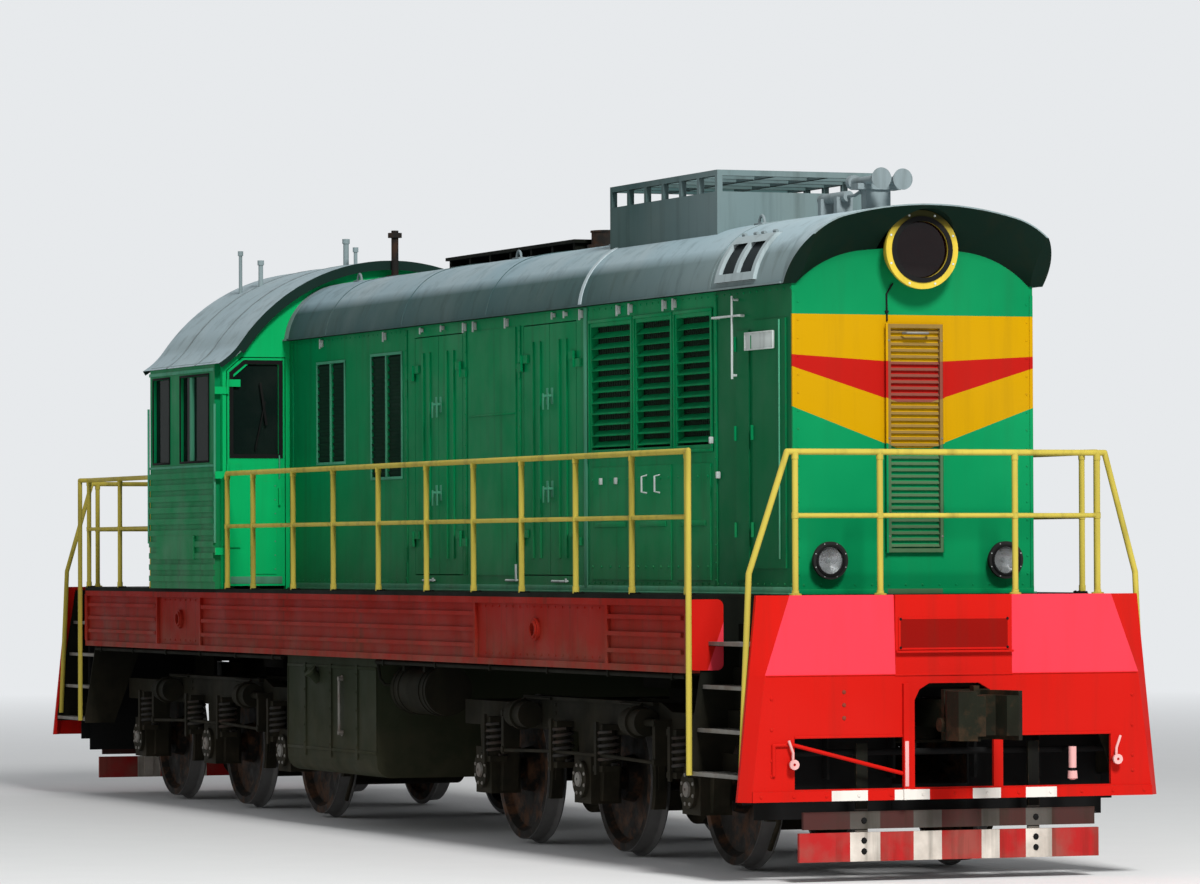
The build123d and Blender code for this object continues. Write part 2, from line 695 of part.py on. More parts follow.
def make_fan_frame():
    """Curb and blades of the shutter over the fan, with an open guard frame on legs above it."""
    x_low, x_high = FAN_CURB_X
    half = 640
    wall = 40
    top = HOOD_TOP + 200
    inner_x = (x_low + wall, x_high - wall)
    inner_y = (wall - half, half - wall)
    curb = span(FAN_CURB_X, (-half, half), (4200, top)) - span(inner_x, inner_y, (4100, top + 10))
    curb += span((FAN_X - FAN_HOLE_RADIUS - 90, FAN_X - FAN_HOLE_RADIUS - 50), inner_y, (4300, top))
    blades = 12
    for number in range(blades):
        blade_x = inner_x[0] + (number + 0.5) * (inner_x[1] - inner_x[0]) / blades
        curb += Pos(blade_x, 0, top - 50) * Rot(0, 50, 0) * Box(110, inner_y[1] - inner_y[0], 6)
    # Guard frame: four long bars on legs, tied by cross bars
    guard_z = (top + 110, top + 150)
    for y in (-half, -220, 180, half - wall):
        curb += span(FAN_CURB_X, (y, y + wall), guard_z)
    for number in range(7):
        x = x_low + (x_high - x_low - wall) * number / 6
        curb += span((x, x + wall), (-half, half), guard_z)
        for y in (-half, half - wall):
            curb += span((x, x + wall), (y, y + wall), (top - 10, guard_z[0] + 10))
    return [curb - arch_prism(x_low - 10, x_high + 10, **hood_arch(-SEAT_GAP))]


def make_cooling_fan():
    """Eight pitched blades on a hub, with the shaft down through the bearing beam."""
    hub_z = 4130
    fan = Pos(FAN_X, 0, hub_z) * Cylinder(140, 130)
    shaft = Cylinder(FAN_SHAFT_RADIUS, hub_z - FAN_BEAM_Z[0] + 40)
    fan += Pos(FAN_X, 0, (FAN_BEAM_Z[0] - 40 + hub_z) / 2) * shaft
    fan += Pos(FAN_X, 0, FAN_BEAM_Z[1] + SEAT_GAP + 15) * Cylinder(70, 30)
    blade = Pos(355, 0, hub_z) * Rot(28, 0, 0) * Box(470, 190, 8)
    for number in range(8):
        fan += Pos(FAN_X, 0, 0) * Rot(0, 0, 45 * number) * blade
    return [fan]


def lamp(x, y, z, radius, depth):
    """A round lamp housing that faces along X, hollow for its lens."""
    body = Cylinder(radius * 0.82, depth) + Pos(0, 0, depth / 2 - 12) * Cylinder(radius, 24)
    body -= Pos(0, 0, 15) * Cylinder(radius * 0.72, depth)
    return Pos(x + depth / 2, y, z) * Rot(0, 90, 0) * body


def lens(x, y, z, radius, depth):
    """A slightly domed glass in the lamp's mouth."""
    edge = radius * 0.72 - SEAT_GAP
    rim = 8
    rise = 16
    dome_radius = (edge**2 + rise**2) / (2 * rise)
    halfway = rim + rise - dome_radius + math.sqrt(dome_radius**2 - edge**2 / 4)
    dome = ThreePointArc((edge, rim), (edge / 2, halfway), (0, rim + rise))
    flat = Polyline((0, rim + rise), (0, 0), (edge, 0), (edge, rim))
    glass = revolve(Face(Wire([dome, *flat.edges()])), axis=Axis.Y)
    return Pos(x + depth - 24, y, z) * Rot(0, 0, -90) * glass


BUFFER_LAMP_Z = 2092
BUFFER_LAMP_Y = 640
BUFFER_LAMP_RADIUS = 125
REAR_HOOD_X = -6600
REAR_HOOD_TOP = 3000
# x of the wall, y, z, radius, depth and whether the lamp faces forward
LAMPS = [
    (HOOD_FACE_X, 0, SEARCHLIGHT_Z, SEARCHLIGHT_RADIUS, 150, True),
    (HOOD_FACE_X, -BUFFER_LAMP_Y, BUFFER_LAMP_Z, BUFFER_LAMP_RADIUS, 80, True),
    (HOOD_FACE_X, BUFFER_LAMP_Y, BUFFER_LAMP_Z, BUFFER_LAMP_RADIUS, 80, True),
    (-CAB_REAR_X, 0, 4150, SEARCHLIGHT_RADIUS, 150, False),
    (-REAR_HOOD_X, -BUFFER_LAMP_Y, BUFFER_LAMP_Z, BUFFER_LAMP_RADIUS, 80, False),
    (-REAR_HOOD_X, BUFFER_LAMP_Y, BUFFER_LAMP_Z, BUFFER_LAMP_RADIUS, 80, False),
]


def place_lamps(maker):
    """One solid for each lamp, turned to the rear where it faces that way."""
    solids = []
    for x, y, z, radius, depth, forward in LAMPS:
        solid = maker(x + SEAT_GAP, y, z, radius, depth)
        solids.append(solid if forward else turned(solid))
    return solids


def make_exhaust():
    """Low exhaust outlet on the ridge, and a slim capped vent pipe ahead of the cab."""
    seat = arch_prism(CAB_FRONT_X, EXHAUST_X + 300, **hood_arch(-SEAT_GAP))
    outlet = Pos(EXHAUST_X, 0, HOOD_TOP) * Cylinder(EXHAUST_RADIUS + 45, 60)
    outlet += Pos(EXHAUST_X, 0, HOOD_TOP + 60) * Cylinder(EXHAUST_RADIUS + 12, 130)
    outlet -= Pos(EXHAUST_X, 0, HOOD_TOP + 60) * Cylinder(EXHAUST_RADIUS - 3, 300)
    vent = Pos(VENT_X, 0, (HOOD_TOP + VENT_TOP) / 2) * Cylinder(30, VENT_TOP - HOOD_TOP + 40)
    vent += Pos(VENT_X, 0, VENT_TOP - 20) * Cylinder(58, 40)
    vent += Pos(VENT_X, 0, HOOD_TOP + 10) * Cylinder(70, 40)
    return [outlet - seat, vent - seat]


HORN_Z = HOOD_TOP + 205


def make_horns():
    """Pair of trumpet horns on a bracket, and a lower whistle behind them, on the ridge."""
    x = 6800
    horns = span((x - 60, x + 60), (-160, 160), (HORN_Z - 60, HORN_Z - 20))
    horns += span((x - 40, x + 40), (-90, 90), (HOOD_TOP - 60, HORN_Z - 50))
    for y, length in ((-90, 230), (90, 180)):
        horns += rod((x - 170, y, HORN_Z), (x + length - 50, y, HORN_Z), 28)
        horns += Pos(x + length, y, HORN_Z) * Rot(0, 90, 0) * Cone(30, 72, 120)
        horns += Pos(x - 170, y, HORN_Z) * Rot(0, 90, 0) * Cylinder(48, 50)
    whistle_z = HOOD_TOP + 130
    whistle = rod((5900, 0, whistle_z), (6350, 0, whistle_z), 38)
    for foot_x in (5990, 6260):
        whistle += span((foot_x - 25, foot_x + 25), (-60, 60), (HOOD_TOP - 60, whistle_z))
    seat = arch_prism(5700, 7100, **hood_arch(-SEAT_GAP))
    return [horns - seat, whistle - seat]


# Cab doors lie in the front wall's right-hand side and the rear wall's left-hand side.
CAB_DOOR_Y = (-1425, -925)
CAB_DOOR_Z = (DECK_Z + 25, 3780)
CAB_DOOR_THICK = 50
CAB_DOOR_EDGE = 52
CAB_HINGE_Z = (2150, 2780, 3480)
CAB_PANE = 8
# How far the upper outer corners of doors and windows are cut off under the arched roof: across, down
CAB_CORNER = (130, 110)
CAB_WINDOW_Y = (950, 1410)
CAB_END_WINDOW_Z = (2983, 3760)
REAR_WINDOWS_Y = ((-800, -330), (330, 800))
REAR_WINDOW_Z = (3250, 3850)


def corner_cut(outer_y, inner_y, z, margin=0):
    """Outline with its upper outer corner cut off, as (y, z) points, grown by a margin."""
    outward = 1 if outer_y > inner_y else -1
    low = z[0] - margin
    top = z[1] + margin
    outer = outer_y + outward * margin
    inner = inner_y - outward * margin
    shoulder = margin * 0.5
    return [
        (inner, low),
        (outer, low),
        (outer, z[1] - CAB_CORNER[1] + shoulder),
        (outer_y - outward * (CAB_CORNER[0] - shoulder), top),
        (inner, top),
    ]


def cab_hinges(moving):
    """Hinges of the front door, at its outer edge."""
    return Pos(CAB_FRONT_X, CAB_DOOR_Y[0], 0) * Rot(0, 0, 90) * hinges(CAB_HINGE_Z, moving)


def cab_wall(x_low, x_high):
    """End wall of the cab, arched under the roof, with one doorway and one window."""
    wall = arch_prism(x_low, x_high, **cab_arch(CAB_ROOF_SHEET + CAB_CORRUGATION, DECK_Z))
    doorway = corner_cut(*CAB_DOOR_Y, (DECK_Z, CAB_DOOR_Z[1]), MOVE_GAP)
    wall -= cross_plate(doorway, x_low - 1, x_high + 1)
    window = corner_cut(CAB_WINDOW_Y[1], CAB_WINDOW_Y[0], CAB_END_WINDOW_Z)
    wall -= cross_plate(window, x_low - 1, x_high + 1)
    return wall + cab_hinges(moving=False)


def make_cab_front_wall():
    return [cab_wall(CAB_FRONT_X - CAB_WALL, CAB_FRONT_X)]


def cab_turn(solid):
    """Half a turn about the cab's own centre, from its front wall to its rear wall."""
    middle = (CAB_FRONT_X + CAB_REAR_X) / 2
    return Pos(middle, 0, 0) * Rot(0, 0, 180) * Pos(-middle, 0, 0) * solid


def make_cab_rear_wall():
    wall = cab_turn(cab_wall(CAB_FRONT_X - CAB_WALL, CAB_FRONT_X))
    # Two more windows over the rear hood, each side of the middle
    for y in REAR_WINDOWS_Y:
        wall -= span((CAB_REAR_X - 1, CAB_REAR_X + CAB_WALL + 1), y, REAR_WINDOW_Z)
    return [wall]


# Side windows: x low, x high
CAB_SIDE_WINDOWS = [(-4807, -4352), (-4035, -3263)]
CAB_WINDOW_Z = (2935, 3640)


def make_cab_sides():
    """Corrugated side walls with two windows each."""
    outer = CAB_HALF - CAB_CORRUGATION
    x = (CAB_REAR_X + CAB_WALL, CAB_FRONT_X - CAB_WALL)
    wall = span(x, (outer - CAB_WALL, outer), (DECK_Z, CAB_EAVE_Z))
    for window in CAB_SIDE_WINDOWS:
        wall -= span(window, (outer - CAB_WALL - 1, outer + 1), CAB_WINDOW_Z)
    for number in range(10):
        z = DECK_Z + 60 + number * 96
        wall += span(x, (outer, CAB_HALF), (z, z + 48))
    wall += span((-4671, -3626), (outer, CAB_HALF + 6), (2114, 2312))
    return both_sides(wall)


def make_cab_roof():
    """Arched roof with a shallow overhang at each end, and the vent and aerial posts on it."""
    x = (CAB_REAR_X - CAB_OVERHANG, CAB_FRONT_X + CAB_OVERHANG)
    roof = arch_prism(*x, **cab_arch(0))
    roof -= arch_prism(x[0] - 1, x[1] + 1, **cab_arch(CAB_ROOF_SHEET, CAB_EAVE_Z - 1))
    for side in (-1, 1):
        y = sorted((side * (CAB_HALF - CAB_CORRUGATION - CAB_WALL), side * (CAB_HALF - CAB_ROOF_SHEET / 2)))
        roof += span((CAB_REAR_X + CAB_WALL, CAB_FRONT_X - CAB_WALL), y, (CAB_EAVE_Z, CAB_EAVE_Z + 20))
    # Posts: x, y, top, radius
    for post_x, y, top, radius in (
        (-4148, 0, CAB_TOP + 244, 24),
        (-3900, 0, CAB_TOP + 160, 16),
        (-4600, -800, CAB_TOP + 150, 15),
        (-4350, -700, CAB_TOP + 60, 20),
    ):
        foot = CAB_TOP - CAB_CROWN_RADIUS + math.sqrt(CAB_CROWN_RADIUS**2 - y**2) - CAB_ROOF_SHEET / 2
        roof += Pos(post_x, y, (foot + top) / 2) * Cylinder(radius, top - foot)
        roof += Pos(post_x, y, top - 20) * Cylinder(radius + 8, 40)
    return [roof]


def make_cab_windows():
    """Fixed panes of the cab's sides and end walls."""
    panes = []
    outer = CAB_HALF - CAB_CORRUGATION
    for window in CAB_SIDE_WINDOWS:
        pane = span(window, (outer - 34, outer - 34 + CAB_PANE), CAB_WINDOW_Z)
        panes += both_sides(pane)
    x = (CAB_FRONT_X - 34, CAB_FRONT_X - 34 + CAB_PANE)
    front = cross_plate(corner_cut(CAB_WINDOW_Y[1], CAB_WINDOW_Y[0], CAB_END_WINDOW_Z), *x)
    panes += [front, cab_turn(front)]
    x = (CAB_REAR_X + 26, CAB_REAR_X + 26 + CAB_PANE)
    for y in REAR_WINDOWS_Y:
        panes.append(span(x, y, REAR_WINDOW_Z))
    return panes


def make_cab_door():
    """Leaf in the cab's front doorway with its window cut."""
    x = (CAB_FRONT_X - CAB_DOOR_THICK, CAB_FRONT_X)
    leaf = cross_plate(corner_cut(*CAB_DOOR_Y, CAB_DOOR_Z), *x)
    leaf -= cross_plate(door_pane_outline(), x[0] - 1, x[1] + 1)
    leaf += span((CAB_FRONT_X, CAB_FRONT_X + 8), (-1228, -1000), (1990, 2760))
    leaf += span((CAB_FRONT_X, CAB_FRONT_X + 30), (-985, -965), (2560, 2700))
    return leaf + cab_hinges(moving=True)


def door_pane_outline():
    """Outline of the cab door's window, inside the leaf's edge."""
    outer = CAB_DOOR_Y[0] + CAB_DOOR_EDGE
    inner = CAB_DOOR_Y[1] - CAB_DOOR_EDGE
    return corner_cut(outer, inner, (CAB_END_WINDOW_Z[0], CAB_DOOR_Z[1] - CAB_DOOR_EDGE))


def make_door_pane():
    """Glass of the cab door."""
    return cross_plate(door_pane_outline(), CAB_FRONT_X - 29, CAB_FRONT_X - 29 + CAB_PANE)


def make_control_desk():
    """Driver's desk with a sloped instrument board, and the cabinet beside it."""
    outline = [(-3700, DECK_Z), (-3700, 2750), (-3560, 2950), (-3380, 3010), (-3380, DECK_Z)]
    return [side_plate(outline, 300, 1100)]


# Seats: x and y of the pedestal, height of the pan
SEAT_PLACES = ((-4150, 950), (-4150, -950))
SEAT_PAN_Z = DECK_Z + 430


def make_cab_seats():
    """Two seat frames on pedestals: pan and back plate."""
    seats = []
    for x, y in SEAT_PLACES:
        seat = Pos(x, y, DECK_Z + 20) * Cylinder(160, 40)
        seat += Pos(x, y, (DECK_Z + SEAT_PAN_Z) / 2) * Cylinder(45, SEAT_PAN_Z - DECK_Z)
        seat += span((x - 240, x + 220), (y - 220, y + 220), (SEAT_PAN_Z - 20, SEAT_PAN_Z))
        seat += span((x - 240, x - 215), (y - 210, y + 210), (SEAT_PAN_Z, SEAT_PAN_Z + 560))
        seats.append(seat)
    return seats


def make_seat_cushions():
    """Plain seat and back pads of the two seats."""
    pads = []
    for x, y in SEAT_PLACES:
        low = SEAT_PAN_Z + SEAT_GAP
        pads.append(span((x - 115, x + 225), (y - 225, y + 225), (low, low + 95)))
        pads.append(span((x - 215 + SEAT_GAP, x - 125), (y - 215, y + 215), (low + 100, low + 560)))
    return pads


def make_rear_hood():
    """Low battery hood behind the cab, with louvred doors."""
    box = span((REAR_HOOD_X, CAB_REAR_X), (-HOOD_HALF, HOOD_HALF), (DECK_Z, REAR_HOOD_TOP))
    edges = box.edges().filter_by(Axis.X).group_by(Axis.Z)[-1]
    box = fillet(edges, 90)
    for side in (-1, 1):
        for x in ((-6480, -5860), (-5760, -5140)):
            y = sorted((side * HOOD_HALF, side * (HOOD_HALF + 10)))
            box += span(x, y, (1960, 2860))
    return [box]


def make_fuel_tank():
    """Tank hung under the sills between the bogies."""
    tank = span((-1550, 600), (-1400, 1400), (430, BEAM_BOTTOM))
    bottom = tank.edges().filter_by(Axis.X).group_by(Axis.Z)[0]
    tank = fillet(bottom, 120)
    for side in (-1, 1):
        shelf = sorted((side * (SILL_INNER + 20), side * 1400))
        tank += span((-1550, 600), shelf, (BEAM_BOTTOM, SILL_BOTTOM))
    for x in (-1100, -475, 150):
        tank += span((x - 25, x + 25), (-1412, 1412), (560, BEAM_BOTTOM))
    return [tank]


def make_air_reservoirs():
    """Two air reservoirs on hangers under the sills, ahead of the tank."""
    solids = []
    for side in (-1, 1):
        y = side * 1150
        body = Pos(1130, y, 1120) * Rot(0, 90, 0) * Cylinder(190, 780)
        for x in (900, 1360):
            body += span((x - 25, x + 25), sorted((side * 1230, side * 1290)), (1120, SILL_BOTTOM))
        solids.append(body)
    return solids


def make_engine():
    """Diesel engine with its generator, as one plain block."""
    return [span((-50, 3500), (-480, 480), (DECK_Z, 3500))]


def make_coupler():
    """Automatic coupler: head with large and small tooth, collar, shank and pin eye."""
    # Outline of the head from above: distance behind the foremost point, y
    head = [
        (420, -95),
        (420, 95),
        (320, 190),
        (210, 222),
        (50, 222),
        (15, 180),
        (50, 112),
        (170, 88),
        (205, 20),
        (170, -40),
        (0, -62),
        (0, -120),
        (50, -232),
        (190, -250),
        (320, -200),
    ]
    coupler = flat_plate([(COUPLER_REACH - back, y) for back, y in head], COUPLER_Z - 130, COUPLER_Z + 130)
    # Thicker guard arm and large tooth, above and below the plain head
    for outline in (head[1:6] + [(250, 150)], head[11:15] + [(170, -80)]):
        points = [(COUPLER_REACH - back, y) for back, y in outline]
        coupler += flat_plate(points, COUPLER_Z - 160, COUPLER_Z + 160)
    neck = COUPLER_REACH - 415
    coupler += span((neck - 45, neck), (-165, 165), (COUPLER_Z - 165, COUPLER_Z + 165))
    coupler += span((neck - 160, neck - 40), (-110, 110), (COUPLER_Z - 110, COUPLER_Z + 110))
    # Lock lever's boss on the left and the chain lug on top
    coupler += Pos(COUPLER_REACH - 300, -190, COUPLER_Z - 60) * Rot(90, 0, 0) * Cylinder(45, 130)
    coupler += span((COUPLER_REACH - 330, COUPLER_REACH - 270), (-20, 20), (COUPLER_Z + 120, COUPLER_Z + 190))
    x = (COUPLER_PIN_X - 70, neck)
    shank = span(x, (-SHANK_HALF, SHANK_HALF), (COUPLER_Z - 90, COUPLER_Z + 90))
    shank += Pos(COUPLER_PIN_X, 0, COUPLER_Z) * Cylinder(110, 180)
    return coupler + shank - Pos(COUPLER_PIN_X, 0, COUPLER_Z) * Cylinder(COUPLER_PIN_RADIUS + SEAT_GAP, 400)


def make_wheelset(x):
    """Axle with two flanged wheels and their journals."""
    inner = WHEEL_BACK
    outer = WHEEL_BACK + TYRE_WIDTH
    # Half of the wheel's section: distance from the centre plane, radius
    profile = [
        (inner, 0),
        (inner - 20, 0),
        (inner - 20, 150),
        (inner + 30, 170),
        (inner + 50, 430),
        (inner, 460),
        (inner, WHEEL_RADIUS + 15),
        (inner + 14, WHEEL_RADIUS + FLANGE_DEPTH),
        (inner + 30, WHEEL_RADIUS + 8),
        (inner + 42, WHEEL_RADIUS),
        (outer, WHEEL_RADIUS - 6),
        (outer, 460),
        (inner + 85, 430),
        (inner + 70, 170),
        (outer + 15, 150),
        (outer + 15, 0),
    ]
    face = make_face(Polyline(*profile, close=True))
    wheel = revolve(face, axis=Axis.X)
    # The wheel is drawn about X, and turned so that its axle lies along Y.
    wheel = Rot(0, 0, 90) * wheel
    axle = Rot(90, 0, 0) * (Cylinder(AXLE_RADIUS, 2 * WHEEL_BACK) + Cylinder(JOURNAL_RADIUS, 2 * JOURNAL_END))
    return Pos(x, 0, AXLE_Z) * (wheel + mirror(wheel, about=Plane.XZ) + axle)


SPRING_POTS_X = (-1794, -438, 438, 1794)
SPRING_CORE = 62
SHOE_GAP = 12
SHOE_THICK = 55


def brake_shoe(axle, end, frame_y):
    """Curved shoe beside one wheel's tread, with its hanger up to a pin in the side frame."""
    y = (WHEEL_BACK + 46, WHEEL_BACK + TYRE_WIDTH - 6)
    centre = Pos(axle, sum(y) / 2, AXLE_Z) * Rot(90, 0, 0)
    reach = WHEEL_RADIUS + SHOE_GAP + SHOE_THICK
    ring = centre * (Cylinder(reach, y[1] - y[0]) - Cylinder(WHEEL_RADIUS + SHOE_GAP, y[1] - y[0] + 2))
    near = axle + end * WHEEL_RADIUS * 0.8
    shoe = ring & span(sorted((near, axle + end * (reach + 10))), y, (AXLE_Z - 200, AXLE_Z + 130))
    hanger_x = axle + end * (WHEEL_RADIUS + SHOE_GAP + SHOE_THICK)
    hanger = sorted((hanger_x - end * 30, hanger_x + end * 10))
    shoe += span(hanger, (y[0] + 20, y[1] - 20), (AXLE_Z - 60, 960))
    return shoe + rod((hanger_x, y[0] + 20, 940), (hanger_x, frame_y + 10, 940), 22)


def make_bogie():
    """Bogie frame about its own centre: side frames, transoms, pivot plate, axle boxes and springs."""
    y_low = SIDE_FRAME_Y - SIDE_FRAME_THICK / 2
    y_high = SIDE_FRAME_Y + SIDE_FRAME_THICK / 2
    # Side view of the frame's right half, with a pedestal at each axle: x, z
    half_outline = [
        (0, SIDE_FRAME_TOP),
        (1300, SIDE_FRAME_TOP),
        (1500, SIDE_FRAME_TOP - 60),
        (BOGIE_HALF, SIDE_FRAME_TOP - 60),
        (BOGIE_HALF, SIDE_FRAME_UNDER),
        (AXLE_PITCH + 260, SIDE_FRAME_UNDER),
        (AXLE_PITCH + 210, AXLE_Z - 150),
        (AXLE_PITCH - 210, AXLE_Z - 150),
        (AXLE_PITCH - 260, SIDE_FRAME_UNDER),
        (260, SIDE_FRAME_UNDER),
        (210, AXLE_Z - 150),
        (0, AXLE_Z - 150),
    ]
    outline = half_outline + [(-x, z) for x, z in reversed(half_outline[1:-1])]
    frame = side_plate(outline, y_low, y_high)
    for axle in (-AXLE_PITCH, 0, AXLE_PITCH):
        box = span((axle - 160, axle + 160), (y_low - 40, y_high + 70), (AXLE_Z - 170, AXLE_Z + 170))
        cover = Pos(axle, y_high + 85, AXLE_Z) * Rot(90, 0, 0) * Cylinder(130, 30)
        frame += box + cover
    for x in SPRING_POTS_X:
        frame += Pos(x, y_high + 55, 790) * Cylinder(SPRING_CORE, 260)
        frame += span((x - 90, x + 90), (y_high, y_high + 130), (620, 662))
        bracket_z = (SIDE_FRAME_UNDER + 30, SIDE_FRAME_UNDER + 72)
        frame += span((x - 90, x + 90), (y_high, y_high + 130), bracket_z)
        # Hanger link from the spring seat up past the frame
        frame += span((x - 22, x + 22), (y_high + 130, y_high + 150), (600, SIDE_FRAME_UNDER + 90))
    # Edge flange and brake cylinder on the frame's outer face
    frame += span((-1250, 1250), (y_high, y_high + 40), (SIDE_FRAME_TOP - 24, SIDE_FRAME_TOP))
    for end in (-1, 1):
        cylinder = Pos(end * 1120, y_high + 95, 985) * Rot(0, 90, 0)
        frame += cylinder * Cylinder(95, 300)
        frame += cylinder * Cylinder(112, 40)
        frame += rod((end * 1270, y_high + 95, 985), (end * 1480, y_high + 95, 985), 26)
        frame += span(sorted((end * 1440, end * 1490)), (y_high, y_high + 125), (690, 1010))
        # Sand pipe down to the rail ahead of the outer wheel
        end_x = end * (BOGIE_HALF + 18)
        sand_y = WHEEL_BACK + TYRE_WIDTH / 2
        foot = end * (AXLE_PITCH + 450)
        points = [
            (end * (BOGIE_HALF - 30), sand_y, 930),
            (end_x, sand_y, 820),
            (end_x, sand_y, 340),
            (foot, sand_y, 160),
        ]
        frame += pipe(points, 17)
    for axle in (-AXLE_PITCH, 0, AXLE_PITCH):
        for end in (-1, 1):
            frame += brake_shoe(axle, end, y_low)
    frame += mirrored(frame)
    for x in (-1000, 1000):
        frame += span((x - 100, x + 100), (-y_low, y_low), (900, 1100))
    for end in (-1, 1):
        beam = sorted((end * (BOGIE_HALF - 60), end * BOGIE_HALF))
        frame += span(beam, (-y_low, y_low), (SIDE_FRAME_UNDER, SIDE_FRAME_TOP - 60))
    for side in (-1, 1):
        frame += span((-900, 900), sorted((side * 250, side * 370)), (960, 1100))
    plate = span((-330, 330), (-370, 370), (1100, PIVOT_PLATE_TOP))
    plate -= Pos(0, 0, 1150) * Cylinder(PIVOT_RADIUS + 2, 300)
    frame += plate
    for axle in (-AXLE_PITCH, 0, AXLE_PITCH):
        bore = Pos(axle, 0, AXLE_Z) * Rot(90, 0, 0) * Cylinder(JOURNAL_RADIUS + 1, 2 * JOURNAL_END + 12)
        frame -= bore
    return frame


# Motors of one bogie: x of the motor, x low and high of the lug under the transom
MOTORS = [(-1530, -1300, -920), (470, 700, 940), (1530, 960, 1300)]
MOTOR_RADIUS = 310


def make_motors():
    """Traction motors between the wheels, hung from the transoms."""
    solids = []
    for x, lug_low, lug_high in MOTORS:
        motor = Pos(x, 0, AXLE_Z) * Rot(90, 0, 0) * Cylinder(MOTOR_RADIUS, 1000)
        motor += span((lug_low, lug_high), (-180, 180), (700, 900))
        solids.append(motor)
    return solids


def place(solids, x, turn=0):
    """Solids made about a bogie's centre, put at that bogie."""
    return [Pos(x, 0, 0) * Rot(0, 0, turn) * solid for solid in solids]


def build():
    """Every node's name with its solids."""
    bogie = make_bogie()
    motors = make_motors()
    coupler = make_coupler()
    door = make_cab_door()
    pane = make_door_pane()
    stair = make_stair()
    nodes = {
        "main_frame": make_main_frame(),
        "side_sills": make_side_sills(),
        "aprons": both_ends([make_apron()]),
        "rail_guards": both_ends([make_rail_guard()]),
        "stairs": both_ends(both_sides(stair)),
        "side_railings": [
            *both_sides(make_side_railing(FRONT_POST_X)),
            *both_sides(make_side_railing(REAR_POST_X)),
        ],
        "end_railings": both_ends([make_end_railing()]),
        "hood_control_section": [make_hood_control()],
        "hood_engine_section": [make_hood_engine()],
        "hood_cooler_section": [make_hood_cooler()],
        "hood_front_section": [make_hood_front()],
        "hood_roof_front": make_roof_front(),
        "hood_roof_rear": make_roof_rear(),
        "roof_walkway": make_roof_walkway(),
        "radiator_shutters": make_shutters(),
        "fan_shutter_frame": make_fan_frame(),
        "cooling_fan": make_cooling_fan(),
        "lamp_housings": place_lamps(lamp),
        "lamp_lenses": place_lamps(lens),
        "exhaust_stack": make_exhaust(),
        "horns": make_horns(),
        "cab_front_wall": make_cab_front_wall(),
        "cab_rear_wall": make_cab_rear_wall(),
        "cab_sides": make_cab_sides(),
        "cab_roof": make_cab_roof(),
        "cab_windows": make_cab_windows(),
        "cab_door_front": [door],
        "cab_door_rear": [cab_turn(door)],
        "door_pane_front": [pane],
        "door_pane_rear": [cab_turn(pane)],
        "control_desk": make_control_desk(),
        "cab_seats": make_cab_seats(),
        "seat_cushions": make_seat_cushions(),
        "rear_hood": make_rear_hood(),
        "fuel_tank": make_fuel_tank(),
        "air_reservoirs": make_air_reservoirs(),
        "engine_block": make_engine(),
        "coupler_front": [coupler],
        "coupler_rear": [turned(coupler)],
        "bogie_frame_front": place([bogie], BOGIE_X),
        "bogie_frame_rear": place([bogie], -BOGIE_X, 180),
        "bogie_motors_front": place(motors, BOGIE_X),
        "bogie_motors_rear": place(motors, -BOGIE_X, 180),
    }
    nodes.update(engine_doors())
    axles = [BOGIE_X + AXLE_PITCH, BOGIE_X, BOGIE_X - AXLE_PITCH]
    for number, x in enumerate(axles + [-x for x in reversed(axles)], start=1):
        nodes[f"wheelset_{number}"] = [make_wheelset(x)]
    return nodes


def write(nodes):
    """One STEP file for each node."""
    os.makedirs("parts", exist_ok=True)
    for name, solids in nodes.items():
        bodies = [body for solid in solids for body in solid.solids()]
        shape = bodies[0] if len(bodies) == 1 else Compound(children=bodies)
        export_step(shape, f"parts/{name}.step")


write(build())
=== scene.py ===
"""Looks of the six-axle diesel locomotive: finishes, small fittings, stage and camera.

Everything is in metres in the part's own frame: +X to the long hood's end, +Y to the left,
+Z up, with the wheel flanges standing on Z 0.
"""

import math

import bmesh
import bpy
from mathutils import Euler, Matrix, Vector


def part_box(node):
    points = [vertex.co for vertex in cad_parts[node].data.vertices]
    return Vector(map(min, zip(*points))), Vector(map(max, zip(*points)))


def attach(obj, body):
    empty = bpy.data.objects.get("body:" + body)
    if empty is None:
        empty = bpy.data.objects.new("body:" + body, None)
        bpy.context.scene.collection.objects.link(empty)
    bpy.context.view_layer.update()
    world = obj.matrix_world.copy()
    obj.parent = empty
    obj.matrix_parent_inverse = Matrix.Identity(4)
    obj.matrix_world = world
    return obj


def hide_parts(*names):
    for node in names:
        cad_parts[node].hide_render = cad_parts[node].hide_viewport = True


bl_info = {
    "name": "Diesel locomotive looks",
    "version": (1, 0, 0),
    "blender": (4, 5, 0),
    "location": "View3D > Sidebar > Locomotive",
    "description": "Finishes, fittings, lamps and stage for a hood-type diesel locomotive",
    "category": "Object",
}

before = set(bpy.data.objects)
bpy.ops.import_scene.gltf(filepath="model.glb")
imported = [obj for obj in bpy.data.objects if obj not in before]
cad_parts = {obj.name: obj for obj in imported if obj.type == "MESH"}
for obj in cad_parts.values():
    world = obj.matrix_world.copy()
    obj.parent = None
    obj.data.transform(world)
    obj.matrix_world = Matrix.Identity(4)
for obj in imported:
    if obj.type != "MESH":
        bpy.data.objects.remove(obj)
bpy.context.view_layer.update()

# Places that the fittings share, read from the frame
DECK_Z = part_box("hood_front_section")[0].z
EAVE_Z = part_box("hood_roof_front")[0].z
HOOD_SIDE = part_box("hood_control_section")[1].y

